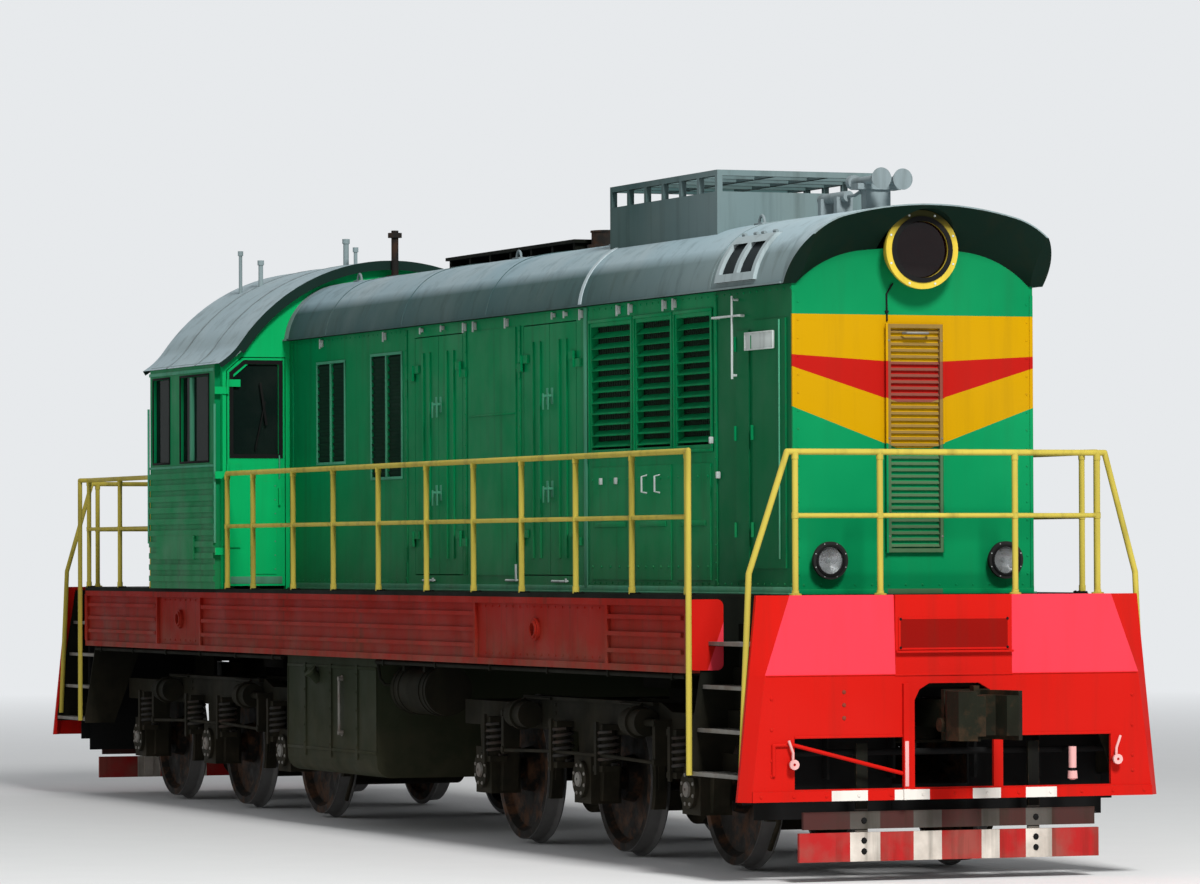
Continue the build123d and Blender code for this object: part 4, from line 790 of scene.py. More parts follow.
class LOCO_OT_finishes(bpy.types.Operator):
    """Make every finish, and give each carried-over node its own."""

    bl_idname = "loco.finishes"
    bl_label = "Paints and metals"

    def execute(self, context):
        body_paints(context.scene.loco_colours)
        other_paints(context.scene.loco_colours)
        metals()
        glass("cab_glass", (0.010, 0.022, 0.018), clear=0.5, bend=1.06)
        # Dark red tint of the searchlights' glass: a painted dark reflection.
        dark_reflection_tint = (0.030, 0.003, 0.006)
        glass("lamp_pane", (0.55, 0.57, 0.58), clear=0.9, bend=1.33, roughness=0.02, high_tint=dark_reflection_tint)
        for name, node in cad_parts.items():
            fitting = [finish for start, finish in NODE_FINISHES if name.startswith(start)]
            chosen = material(fitting[0] if fitting else "hood_paint")
            if node.material_slots:
                node.material_slots[0].material = chosen
            else:
                node.data.materials.append(chosen)
        return {"FINISHED"}


# Directions in which small fittings stand on what carries them
OUTWARD = (0, -1, 0)
AHEAD = (1, 0, 0)
UP = (0, 0, 1)
DOWN = (0, 0, -1)


def rivets(kit, start, end, pitch, axis, radius):
    """A row of rivet heads from one point to another."""
    start = Vector(start)
    end = Vector(end)
    count = max(2, round((end - start).length / pitch) + 1)
    for number in range(count):
        kit.dome(start.lerp(end, number / (count - 1)), axis, radius, sides=6)


def around(centre, axis, radius, count, start=0.0):
    """Points spaced evenly round a centre, across the named axis; start is a share of one step."""
    first, second = {"X": (1, 2), "Y": (0, 2), "Z": (0, 1)}[axis]
    points = []
    for number in range(count):
        angle = math.tau * (number + start) / count
        point = Vector(centre)
        point[first] += radius * math.cos(angle)
        point[second] += radius * math.sin(angle)
        points.append(point)
    return points


def rim(kit, low, high, width, outer, inner, bevel=0.002):
    """A flat frame round an opening in a side wall, from one depth to another."""
    (x0, z0), (x1, z1) = low, high
    kit.block((x0 - width, outer, z1), (x1 + width, inner, z1 + width), bevel=bevel)
    kit.block((x0 - width, outer, z0 - width), (x1 + width, inner, z0), bevel=bevel)
    kit.block((x0 - width, outer, z0), (x0, inner, z1), bevel=bevel)
    kit.block((x1, outer, z0), (x1 + width, inner, z1), bevel=bevel)


def outline_rim(kit, points, x_low, x_high, width):
    """A flat frame outside a convex outline of (y, z) points in an end wall."""
    middle_y = sum(y for y, _ in points) / len(points)
    middle_z = sum(z for _, z in points) / len(points)
    normals = []
    for (y0, z0), (y1, z1) in zip(points, points[1:] + points[:1]):
        normal = Vector((z1 - z0, y0 - y1)).normalized()
        if normal.dot(Vector(((y0 + y1) / 2 - middle_y, (z0 + z1) / 2 - middle_z))) < 0:
            normal = -normal
        normals.append(normal)
    grown = []
    for index, point in enumerate(points):
        before = normals[index - 1]
        after = normals[index]
        grown.append(Vector(point) + (before + after) * width / (1 + before.dot(after)))
    rings = []
    for x in (x_low, x_high):
        rings.append([kit.mesh.verts.new((x, y, z)) for y, z in points])
        rings.append([kit.mesh.verts.new((x, y, z)) for y, z in grown])
    order = (rings[0], rings[1], rings[3], rings[2])
    for first, second in zip(order, order[1:] + order[:1]):
        for index in range(len(points)):
            following = (index + 1) % len(points)
            kit.mesh.faces.new((first[index], first[following], second[following], second[index]))


# Arched roofs: half width, eave height, top height, half width of the crown, radius of the crown
HOOD_ARCH = (0.930, 3.922, 4.446, 0.520, 2.400)
CAB_ARCH = (1.530, 3.730, 4.602, 1.340, 1.640)


def arch_line(arch, offset=0.0, steps=14):
    """Points (y, z) over a roof's arch from one eave to the other, moved out by an offset."""
    half, eave, top, crown, radius = arch
    lean = math.asin(crown / radius)
    out = Vector((math.sin(lean), math.cos(lean)))
    knee = Vector((crown, top - radius * (1 - math.cos(lean))))
    reach = knee - Vector((half, eave))
    shoulder = reach.length_squared / (2 * out.dot(reach))
    centre = knee - out * shoulder
    tail = Vector((half, eave)) - centre
    low = math.atan2(tail.x / shoulder, tail.y / shoulder)
    line = []
    for step in range(steps + 1):
        angle = low + (lean - low) * step / steps
        line.append(centre + (shoulder + offset) * Vector((math.sin(angle), math.cos(angle))))
    middle = Vector((0, top - radius))
    for step in range(1, steps + 1):
        angle = lean * (1 - step / steps)
        line.append(middle + (radius + offset) * Vector((math.sin(angle), math.cos(angle))))
    return line + [Vector((-point.x, point.y)) for point in reversed(line[:-1])]


def roof_height(arch, across):
    """Height of a roof's outside at a distance from the centreline."""
    line = [point for point in arch_line(arch, steps=40) if point.x >= 0]
    near = min(line, key=lambda point: abs(point.x - abs(across)))
    return near.y


def arch_band(kit, arch, x_low, x_high, low, high, half=2.0):
    """A strip that follows a roof's arch, from one offset to another, as far as half each side."""
    count = sum(abs(point.x) > half for point in arch_line(arch, low)) // 2
    lines = [arch_line(arch, offset) for offset in (low, high)]
    lines = [line[count : len(line) - count] for line in lines]
    corners = []
    for x, line in ((x_low, lines[0]), (x_high, lines[0]), (x_high, lines[1]), (x_low, lines[1])):
        corners.append([kit.mesh.verts.new((x, point.x, point.y)) for point in line])
    for first, second in zip(corners, corners[1:] + corners[:1]):
        for index in range(len(first) - 1):
            kit.mesh.faces.new((first[index], first[index + 1], second[index + 1], second[index]))
    for index in (0, -1):
        kit.mesh.faces.new([corner[index] for corner in corners])


# The hood's right side wall, on which the fittings are made before they are mirrored
WALL = -HOOD_SIDE

# The radiator's three shutters: edges along the hood, and their edges in height
SHUTTERS = ((3.770, 4.575), (4.635, 5.316), (5.376, 6.030))
SHUTTER_LOW = 2.859
SHUTTER_HIGH = 3.796

# Stretches of the hood's side that the engine doors' pairs take up
DOOR_SPANS = ((0.03, 1.13), (2.41, 3.51))


def hood_seams(sizes):
    """Riveted cover strips, panel ribs, shutter rims and hinges on the hood's sides."""
    kit = Kit()
    half = sizes.seam / 2
    face = WALL - 0.007
    # Cover strips: x, low end, high end
    strips = (
        (-2.95, 1.92, 3.90),
        (-0.15, 1.92, 3.90),
        (1.19, 1.99, 3.84),
        (2.345, 1.99, 3.84),
        (4.605, 2.86, 3.80),
        (5.346, 2.86, 3.80),
        (6.101, 1.92, 3.90),
    )
    for x, low, high in strips:
        kit.block((x - half, face, low), (x + half, WALL, high), bevel=0.0015)
        rivets(kit, (x, face, low + 0.04), (x, face, high - 0.04), 0.12, OUTWARD, sizes.rivet)
    kit.block((1.28, WALL - 0.014, 3.184), (2.25, WALL - 0.008, 3.198), bevel=0.002)
    for x_low, x_high in ((-2.92, -0.18), (3.73, 6.07), (6.13, 7.37)):
        for z in (3.892, 1.935):
            rivets(kit, (x_low, WALL, z), (x_high, WALL, z), 0.11, OUTWARD, sizes.rivet)
    # Panels below the shutters: screws along two edges and a pressed rib
    panel = WALL - 0.01
    for x_low, x_high in ((3.79, 4.55), (4.66, 5.30), (5.40, 6.01)):
        for z in (2.05, 2.67):
            rivets(kit, (x_low + 0.04, panel, z), (x_high - 0.04, panel, z), 0.16, OUTWARD, 0.012)
        kit.block((x_low + 0.08, WALL - 0.018, 2.33), (x_high - 0.08, panel, 2.37), bevel=0.004)
    for x_low, x_high in SHUTTERS:
        corners = ((x_low + 0.002, SHUTTER_LOW), (x_high - 0.002, SHUTTER_HIGH))
        rim(kit, *corners, 0.022, WALL - 0.014, WALL - 0.004)
    # Door hinges of the front section
    pin_y = WALL - 0.014
    for z in (2.30, 2.95, 3.55):
        for x, radius in ((6.755, 0.013), (6.465, 0.011)):
            kit.bar((x, pin_y, z - 0.05), (x, pin_y, z + 0.05), radius)
    kit.piece("hood_seams", material("hood_paint"), mirror_y=True)


def hood_joint_strips():
    """Pale strips at the sections' joint, by the front corner and along the deck."""
    kit = Kit()
    ledge = DECK_Z + 0.012
    kit.block((3.655, WALL - 0.010, 1.90), (3.717, WALL, 3.915), bevel=0.003)
    # The pale strip by the front corner is a painted highlight along the corner.
    kit.block((7.206, WALL - 0.022, 2.102), (7.218, WALL - 0.012, 3.691), bevel=0.003)
    kit.block((-3.03, WALL - 0.03, DECK_Z), (7.38, WALL, ledge), bevel=0.003)
    kit.block((-3.03, WALL - 0.008, ledge), (7.38, WALL, DECK_Z + 0.05), bevel=0.003)
    kit.piece("hood_joint_strips", material("pale_green"), mirror_y=True)


# Catches under the eave, along the hood
CATCHES_REAR = (-2.182, -0.637, 0.226, 0.70, 1.191, 1.410, 2.096)
CATCHES_FRONT = (3.068, 3.309, 3.62, 4.345, 4.573, 5.206, 5.388)


def eave_catches(kit):
    """Catches under the eave; those over an engine door stay above its leaf."""
    for x in CATCHES_REAR + CATCHES_FRONT:
        over_door = any(low < x < high for low, high in DOOR_SPANS)
        foot = 3.856 if over_door else 3.828
        kit.block((x - 0.009, WALL - 0.032, foot), (x + 0.009, WALL - 0.020, 3.908), bevel=0.003)
        kit.block((x - 0.014, WALL - 0.022, foot + 0.015), (x + 0.014, WALL, 3.900), bevel=0.003)


def foot_latches(kit):
    """Bent latch arms along the foot of the hood, on two studs each."""
    arm = WALL - 0.025
    # Latches: x low, x high, height, how far the arm turns up
    latches = ((0.279, 0.506, 1.945, 0.02), (2.101, 2.311, 1.95, 0.12), (3.052, 3.332, 1.945, 0.02))
    for x_low, x_high, z, rise in latches:
        kit.tube([(x_low, arm, z), (x_high, arm, z), (x_high, arm, z + rise)], 0.009)
        for x in (x_low + 0.02, x_high - 0.02):
            kit.bar((x, WALL, z), (x, arm, z), 0.008)


def hood_fittings():
    """Catches, grab handles, knobs, latches, the crossed bars and the blank plate."""
    kit = Kit()
    eave_catches(kit)
    near = WALL - 0.008
    far = WALL - 0.05
    for x in (4.862, 5.102):
        kit.tube([(x, near, 2.566), (x, far, 2.575), (x, far, 2.682), (x, near, 2.691)], 0.007)
    for x, z in ((4.007, 2.66), (4.295, 2.66), (6.041, 2.914), (6.161, 2.674)):
        kit.block((x - 0.013, WALL - 0.03, z - 0.024), (x + 0.013, WALL, z + 0.024), bevel=0.006)
    foot_latches(kit)
    # Upright bar with a cross bar near the front corner, on stand-off feet
    bar_y = WALL - 0.045
    kit.bar((6.483, bar_y, 3.316), (6.483, bar_y, 3.876), 0.008)
    kit.bar((6.137, bar_y, 3.740), (6.605, bar_y, 3.740), 0.008)
    for x, z in ((6.483, 3.34), (6.483, 3.85), (6.16, 3.74), (6.59, 3.74)):
        kit.bar((x, WALL, z), (x, bar_y, z), 0.009)
    # Blank plate with its border
    kit.block((6.655, WALL - 0.024, 3.502), (7.127, WALL - 0.012, 3.620), bevel=0.002)
    rim(kit, (6.663, 3.510), (7.119, 3.612), 0.010, WALL - 0.030, WALL - 0.023, bevel=0.001)
    # The pale paint is partly a painted highlight on the catches and latches.
    kit.piece("hood_fittings", material("pale_paint"), mirror_y=True)


def side_vents():
    """Frames and slats of the two vents in the control section; the slats and the sheet behind them are
    painted shade.
    """
    frames = Kit()
    slats = Kit()
    for x_low, x_high, z_low, z_high in ((-2.310, -1.638, 2.900, 3.700), (-0.974, -0.268, 2.760, 3.720)):
        rim(frames, (x_low, z_low), (x_high, z_high), 0.022, WALL - 0.010, WALL)
        middle = (x_low + x_high) / 2
        frames.block((middle - 0.012, WALL - 0.012, z_low), (middle + 0.012, WALL, z_high), bevel=0.002)
        count = int((z_high - z_low) / 0.055)
        for low, high in ((x_low, middle - 0.03), (middle + 0.03, x_high)):
            # Painted shade: a dark sheet behind the slats, and the slats dark too.
            slats.block((low, WALL + 0.013, z_low), (high, WALL + 0.0195, z_high), bevel=0.001)
            for number in range(count):
                z = z_low + (number + 0.5) * (z_high - z_low) / count
                corners = ((low + 0.004, WALL + 0.002, z - 0.014), (high - 0.004, WALL + 0.005, z + 0.014))
                slats.block(*corners, (0.5, 0, 0))
    frames.piece("vent_frames", material("pale_green"), mirror_y=True)
    slats.piece("vent_slats", material("vent_shade"), mirror_y=True)


def radiator_cores():
    """The radiator's plates and pipes behind the shutters."""
    kit = Kit()
    pipe_y = WALL + 0.060
    pipes = 18
    for x_low, x_high in SHUTTERS:
        low = (x_low + 0.01, WALL + 0.062, SHUTTER_LOW + 0.006)
        kit.block(low, (x_high - 0.01, WALL + 0.085, SHUTTER_HIGH - 0.006), bevel=0.002)
        for number in range(pipes):
            x = x_low + (number + 0.5) * (x_high - x_low) / pipes
            kit.bar((x, pipe_y, SHUTTER_LOW + 0.011), (x, pipe_y, SHUTTER_HIGH - 0.011), 0.006, sides=6)
    kit.piece("radiator_cores", material("radiator_core"), mirror_y=True)


def door_handles():
    """Two handles on each engine door, which swing with it."""
    # Leaves: name, hinge x, on which side of its hinge the leaf lies
    leaves = (("aft_1", 0.048, 1), ("aft_2", 1.106, -1), ("fore_1", 2.428, 1), ("fore_2", 3.486, -1))
    for name, hinge, way in leaves:
        x = hinge + way * 0.48
        for label, sign in (("right", -1), ("left", 1)):
            wall = sign * HOOD_SIDE
            grip = wall + sign * 0.034
            kit = Kit()
            for z in (2.62, 3.30):
                kit.block((x - 0.02, wall - 0.004, z - 0.06), (x + 0.02, wall + 0.004, z + 0.06), bevel=0.002)
                kit.bar((x, wall, z), (x, wall + sign * 0.035, z), 0.012)
                low = (x - 0.010, grip - 0.005, z - 0.10)
                kit.block(low, (x + 0.010, grip + 0.005, z + 0.02), bevel=0.003)
            body = f"engine_door_{name}_{label}"
            kit.piece(f"door_handles_{name}_{label}", material("pale_green"), body)


class LOCO_OT_hood(bpy.types.Operator):
    """Seams, catches, handles, vents and radiator cores along the hood's sides."""

    bl_idname = "loco.hood"
    bl_label = "Hood fittings"

    def execute(self, context):
        hood_seams(context.scene.loco_sizes)
        hood_joint_strips()
        hood_fittings()
        side_vents()
        radiator_cores()
        door_handles()
        return {"FINISHED"}


# Lamps: wall x, distance to the left, height, rim radius, depth, direction along X
LAMPS = (
    (7.3873, 0.0, 4.150, 0.262, 0.150, 1),
    (7.3873, -0.640, 2.092, 0.125, 0.080, 1),
    (7.3873, 0.640, 2.092, 0.125, 0.080, 1),
    (-4.9663, 0.0, 4.150, 0.262, 0.150, -1),
    (-6.6003, -0.640, 2.092, 0.125, 0.080, -1),
    (-6.6003, 0.640, 2.092, 0.125, 0.080, -1),
)


def lamp_insides():
    """Bowl, bulb, ring and ring screws of each lamp; the searchlights' bowls are dark, a painted dark
    reflection.
    """
    dark = Kit()
    bowls = Kit()
    bulbs = Kit()
    for wall, y, z, radius, depth, way in LAMPS:
        axis = (way, 0, 0)
        bore = radius * 0.72 - 0.002
        room = depth - 0.048
        outside = [(0.012, 0.0), (bore * 0.55, room * 0.25), (bore, room)]
        inside = [(bore * 0.97, room), (bore * 0.52, room * 0.33), (0.012, 0.006)]
        # The searchlights' bowls take dark rubber in place of chrome: a painted dark reflection.
        bowl = dark if radius > 0.2 else bowls
        bowl.lathe((wall + way * 0.018, y, z), axis, outside + inside, 40)
        bulbs.dome((wall + way * 0.026, y, z), axis, bore * 0.2, 16)
        face = (wall + way * depth, y, z)
        dark.ring(face, axis, bore + 0.002, bore + radius * 0.13, 0.0, 0.007, 48)
        for place in around(face, "X", radius * 0.93, 8, 0.5):
            bulbs.dome(place, axis, radius * 0.035, 6)
    dark.piece("lamp_dark_rings", material("rubber"))
    bowls.piece("lamp_bowls", material("lamp_chrome"))
    bulbs.piece("lamp_bulbs", material("pale_paint"))


def face_trim(rivet):
    """Edge strips, foot strip and rivet rows of the hood's end face."""
    kit = Kit()
    louvre_x = FACE_X + 0.034
    for y_low, y_high in ((-0.216, -0.2005), (0.2005, 0.210)):
        kit.block((louvre_x, y_low, 2.140), (louvre_x + 0.005, y_high, 3.665), bevel=0.001)
    for y in (-0.868, 0.868):
        kit.block((FACE_X, y - 0.012, DECK_Z + 0.01), (FACE_X + 0.006, y + 0.012, EAVE_Z - 0.06), bevel=0.002)
    kit.block((FACE_X, -0.875, DECK_Z), (FACE_X + 0.018, 0.875, DECK_Z + 0.035), bevel=0.004)
    for y in (-0.835, 0.835):
        rivets(kit, (FACE_X, y, 2.0), (FACE_X, y, 3.8), 0.12, AHEAD, rivet)
    rivets(kit, (FACE_X, -0.8, 1.93), (FACE_X, 0.8, 1.93), 0.12, AHEAD, rivet)
    kit.piece("face_trim", material("face_paint"))


def face_conduit():
    """The searchlight's cable with its clip, down to the louvred panel."""
    kit = Kit()
    x = FACE_X + 0.007
    kit.tube([(x, -0.150, 3.93), (x, -0.196, 3.86), (x, -0.193, 3.68)], 0.006)
    kit.block((FACE_X, -0.207, 3.735), (FACE_X + 0.014, -0.182, 3.750), bevel=0.003)
    kit.piece("face_conduit", material("rubber"))


def face_handle():
    """Handle and screws of the louvred panel."""
    kit = Kit()
    panel_x = FACE_X + 0.034
    grip_x = panel_x + 0.034
    z = 3.60
    kit.tube([(panel_x, -0.09, z), (grip_x, -0.08, z), (grip_x, 0.08, z), (panel_x, 0.09, z)], 0.009)
    for y in (-0.1927, 0.1927):
        for screw_z in (2.25, 2.9, 3.55):
            kit.dome((panel_x, y, screw_z), AHEAD, 0.008)
    kit.piece("face_handle", material("worn_steel"))


class LOCO_OT_face(bpy.types.Operator):
    """Insides of the lamps at both ends, and the trim of the hood's face."""

    bl_idname = "loco.face"
    bl_label = "Lamps and face fittings"

    def execute(self, context):
        lamp_insides()
        face_trim(context.scene.loco_sizes.rivet)
        face_conduit()
        face_handle()
        return {"FINISHED"}


# Headstock plates and brake pipe behind the aprons
HEADSTOCK_X = 7.60
HEADSTOCK_FACE = 7.615
POCKET_HALF = 0.275
BRAKE_PIPE_X = 7.82
BRAKE_PIPE_Z = 0.84
COCK_X = 7.96
COCK_Y = 0.878

# Posts of the side railings, beside the hood and behind the cab, and of the end railings
SIDE_POST_Y = -1.455
HOOD_POSTS = (-2.950, -2.268, -1.243, -0.258, 0.802, 1.882, 2.892, 3.878, 4.936, 5.980, 6.960)
REAR_POSTS = (-5.060, -6.010, -6.960)
END_POST_X = 7.9153
POST_RADIUS = 0.0203
MIDDLE_RAIL_Z = 2.385


def apron_trim():
    """Lips, edge strips and rivets on the outside of the aprons."""
    kit = Kit()
    for low, high in ((-1.140, -0.352), (0.352, 1.140)):
        kit.block((APRON_X, low, 0.941), (APRON_X + 0.010, high, 0.958), bevel=0.003)
    kit.block((APRON_X, -0.425, 1.340), (APRON_X + 0.006, 0.425, 1.352), bevel=0.002)
    for side in (-1, 1):
        kit.block((APRON_X, side * 0.425, 1.344), (APRON_X + 0.005, side * 1.335, 1.352), bevel=0.002)
        for z in (0.70, 0.80, 1.0, 1.2):
            kit.dome((APRON_X, side * 1.30, z), AHEAD, 0.014)
    foot = APRON_X + 0.012
    rivets(kit, (foot, -1.38, 0.566), (foot, 1.38, 0.566), 0.23, AHEAD, 0.013)
    kit.piece("apron_trim", material("apron_paint"), ends=True)


def sill_ends():
    """Rounded plate at each end of the sills, turned to face the stairs."""
    kit = Kit()
    kit.rounded_plate((7.012, -1.476, 1.368), (7.028, -1.225, 1.838), 0.045)
    kit.piece("sill_ends", material("apron_paint"), mirror_y=True, ends=True)


def apron_studs():
    """Three darker studs on the right of each apron's face."""
    kit = Kit()
    for z in (1.238, 1.154, 1.070):
        kit.dome((APRON_X, -0.788, z), AHEAD, 0.015)
    kit.piece("apron_studs", material("sill_paint"), ends=True)


def headstock(kit):
    """Upright plates with ribs behind the apron, open round the coupler's pocket."""
    for low, high in ((-1.26, -POCKET_HALF), (POCKET_HALF, 1.26)):
        kit.block((HEADSTOCK_X, low, 0.40), (HEADSTOCK_FACE, high, 1.345), bevel=0.003)
        for y in (low + 0.02, (low + high) / 2, high - 0.02):
            kit.block((HEADSTOCK_FACE, y - 0.01, 0.66), (7.70, y + 0.01, 1.33), bevel=0.003)
    for z_low, z_high in ((1.188, 1.345), (0.40, 0.62)):
        kit.block((HEADSTOCK_X, -POCKET_HALF, z_low), (HEADSTOCK_FACE, POCKET_HALF, z_high), bevel=0.003)
    for side in (-1, 1):
        shoulder = (HEADSTOCK_FACE, side * POCKET_HALF, 1.188)
        kit.block((HEADSTOCK_X, side * 0.135, 0.95), shoulder, bevel=0.003)
        wing = (HEADSTOCK_FACE, side * 1.34, 0.677)
        kit.block((HEADSTOCK_X, side * 1.26, 0.50), wing, bevel=0.003)


def apron_dark_fittings():
    """Plate screws, guard bolts, headstock plates and the brake pipe with its branch."""
    kit = Kit()
    plate_x = APRON_X + 0.008
    for z in (PLATE_LOW, PLATE_HIGH):
        for y in (-PLATE_HALF, PLATE_HALF):
            kit.dome((plate_x, y, z), AHEAD, 0.010)
    for y in (-0.62, 0.62):
        for z in (0.20, 0.27, 0.40):
            kit.dome((7.935, y, z), AHEAD, 0.022)
    headstock(kit)
    kit.tube([(BRAKE_PIPE_X, -1.20, BRAKE_PIPE_Z), (BRAKE_PIPE_X, 1.20, BRAKE_PIPE_Z)], 0.022)
    branch = [
        (BRAKE_PIPE_X, COCK_Y, BRAKE_PIPE_Z),
        (7.93, COCK_Y, BRAKE_PIPE_Z),
        (COCK_X, COCK_Y, 0.80),
        (COCK_X, COCK_Y, 0.70),
    ]
    kit.tube(branch, 0.020)
    kit.piece("apron_dark_fittings", material("rubber"), ends=True)


def apron_cocks():
    """Pale cock below the pipe's branch, and handles and a bar on the apron's face."""
    kit = Kit()
    bell = [(0.012, 0.0), (0.030, 0.0), (0.034, 0.05), (0.012, 0.06)]
    kit.lathe((COCK_X, COCK_Y, 0.70), DOWN, bell, 20)
    kit.ring((COCK_X, COCK_Y, 0.86), DOWN, 0.012, 0.026, 0.0, 0.14, 20)
    for side in (-1, 1):
        y = side * 1.165
        kit.ring((APRON_X + 0.045, y, 0.775), AHEAD, 0.010, 0.033, 0.0, 0.016, 20)
        kit.tube([(8.03, y, 0.79), (8.035, y, 0.85), (8.035, side * 1.195, 0.93)], 0.009)
    kit.block((8.0295, -0.368, 0.62), (8.034, -0.342, 0.915), bevel=0.002)
    kit.piece("apron_cocks", material("pale_red"), ends=True)


def stair_nosings():
    """Worn edges and grip strips on the stairs' treads."""
    kit = Kit()
    x_low = 7.02
    x_high = 7.875
    # Treads: height, outer edge, depth
    treads = ((0.700, 1.480, 0.260), (0.985, 1.410, 0.230), (1.270, 1.370, 0.230), (1.555, 1.330, 0.230))
    for z, outer, depth in treads:
        top = z + 0.004
        kit.block((x_low, -outer, z), (x_high, -outer + 0.025, top), bevel=0.001)
        kit.block((x_low, -outer - 0.003, z - 0.022), (x_high, -outer, top), bevel=0.001)
        for number in range(9):
            x = 7.08 + number * 0.092
            kit.block((x, -outer + 0.05, z), (x + 0.03, -outer + depth - 0.03, z + 0.003), bevel=0.001)
    kit.piece("stair_nosings", material("worn_steel"), mirror_y=True, ends=True)


def railing_feet():
    """Collars at the rails and sockets at the feet of all posts, with foot plates at the sides."""
    collar = [(POST_RADIUS, -0.02), (0.0235, -0.018), (0.0235, 0.018), (POST_RADIUS, 0.02)]
    sockets = Kit()
    plates = Kit()
    for x in HOOD_POSTS + REAR_POSTS:
        for z in (MIDDLE_RAIL_Z, 2.79):
            sockets.lathe((x, SIDE_POST_Y, z), UP, collar, 14)
        sockets.ring((x, SIDE_POST_Y, DECK_Z), UP, POST_RADIUS, 0.024, 0.0, 0.05, 14)
        plates.block((x - 0.040, -1.476, DECK_Z), (x + 0.040, -1.405, DECK_Z + 0.010), bevel=0.002)
        for bolt_x in (x - 0.030, x + 0.030):
            plates.dome((bolt_x, -1.418, DECK_Z + 0.010), UP, 0.009)
    sockets.piece("side_railing_feet", material("railing_paint"), mirror_y=True)
    plates.piece("side_railing_plates", material("frame_paint"), mirror_y=True)
    foot = [
        (POST_RADIUS, 0.0),
        (0.042, 0.0),
        (0.042, 0.008),
        (0.025, 0.012),
        (0.023, 0.03),
        (POST_RADIUS, 0.03),
    ]
    across = Kit()
    for y in (-1.092, -0.488, 0.488, 1.092):
        for z in (MIDDLE_RAIL_Z, 2.77):
            across.lathe((END_POST_X, y, z), UP, collar, 14)
        across.lathe((END_POST_X, y, DECK_Z), UP, foot, 14)
    across.piece("end_railing_feet", material("railing_paint"), ends=True)


def sill_rivets():
    """Rivet rows along the sills, and a rim on each lifting boss."""
    kit = Kit()
    sill_y = -1.455
    for x_low, x_high in ((-4.82, -3.68), (3.00, 5.52)):
        for z in (1.43, 1.77):
            rivets(kit, (x_low, sill_y, z), (x_high, sill_y, z), 0.14, OUTWARD, 0.010)
    for x in (-4.237, 4.166):
        kit.ring((x, -1.480, 1.610), OUTWARD, 0.046, 0.062, 0.0, 0.012, 28)
    kit.piece("sill_rivets", material("sill_paint"), mirror_y=True)


class LOCO_OT_ends(bpy.types.Operator):
    """Fittings of the aprons and what shows behind them, of the stairs, railings and sills."""

    bl_idname = "loco.ends"
    bl_label = "Aprons, stairs and railings"

    def execute(self, context):
        apron_trim()
        sill_ends()
        apron_studs()
        apron_dark_fittings()
        apron_cocks()
        stair_nosings()
        railing_feet()
        sill_rivets()
        return {"FINISHED"}


def roof_bands():
    """Pale cover band over the joint of the hood's two roofs."""
    kit = Kit()
    arch_band(kit, HOOD_ARCH, 3.660, 3.712, 0.0, 0.006)
    kit.piece("roof_bands", material("pale_roof"))


def roof_joints():
    """Bands over the joints between the hood roofs' sheets."""
    kit = Kit()
    for x_low, x_high in ((-0.170, -0.132), (1.720, 1.755), (6.085, 6.117), (-2.0, -1.965)):
        arch_band(kit, HOOD_ARCH, x_low, x_high, 0.0, 0.005)
    kit.piece("roof_joints", material("roof_paint"))


def cab_roof_edges():
    """Dark edge at both ends of the cab's roof; its deep part, painted shadow under the overhang, stops short
    of the open doors' tops.
    """
    kit = Kit()
    for x_low, x_high in ((-2.937, -2.934), (-5.072, -5.069)):
        # The deeper band, below the roof's edge, is painted shadow under the overhang.
        arch_band(kit, CAB_ARCH, x_low, x_high, -0.078, -0.042, 1.32)
        arch_band(kit, CAB_ARCH, x_low, x_high, -0.042, 0.0)
    kit.piece("cab_roof_edges", material("edge_dark_and_shade"))


def roof_fittings():
    """Joint bands of the cab's roof, lifting eyes on their plates and the hatches' hinges."""
    kit = Kit()
    for x in (-4.4, -3.6):
        arch_band(kit, CAB_ARCH, x, x + 0.03, 0.0, 0.005)
    eye_y = 0.45
    z = roof_height(HOOD_ARCH, eye_y)
    for x in (-2.5, 1.2, 3.2, 5.9):
        for y in (-eye_y, eye_y):
            eye = []
            for step in range(9):
                angle = math.pi * step / 8
                eye.append((x + 0.05 * math.cos(angle), y, z - 0.01 + 0.07 * math.sin(angle)))
            kit.tube(eye, 0.010)
            kit.block((x - 0.075, y - 0.03, z - 0.012), (x + 0.075, y + 0.03, z + 0.008), bevel=0.003)
    # Hinges along the hatches' upper edges, on the roof's left slope and mirrored
    slope = [point for point in arch_line(HOOD_ARCH, 0.02, steps=60) if point.x > 0]
    hinge = min(slope, key=lambda point: abs(point.y - 4.296))
    for x in (6.30, 6.50, 6.63, 6.83):
        for y in (-hinge.x, hinge.x):
            kit.bar((x - 0.025, y, hinge.y), (x + 0.025, y, hinge.y), 0.012)
    kit.piece("roof_fittings", material("pipe_grey"))


def roof_lines():
    """Conduits along the hood's roof with their clips, and the air line to the horns."""
    kit = Kit()
    y = 0.30
    z = roof_height(HOOD_ARCH, y) + 0.018
    kit.tube([(6.72, y, z), (5.60, y, z)], 0.012)
    kit.tube([(3.52, y, z), (2.2, y, z), (-1.2, y, z), (-2.99, y, z)], 0.012)
    for x in (6.6, 6.1, 5.7, 3.3, 2.4, 0.6, -1.5, -2.6):
        kit.block((x - 0.015, y - 0.03, z - 0.035), (x + 0.015, y + 0.03, z + 0.014), bevel=0.003)
    kit.tube([(6.35, 0.0, 4.576), (6.46, 0.0, 4.576), (6.56, 0.0, 4.60), (6.63, -0.09, 4.651)], 0.012)
    kit.piece("roof_lines", material("pipe_grey"))


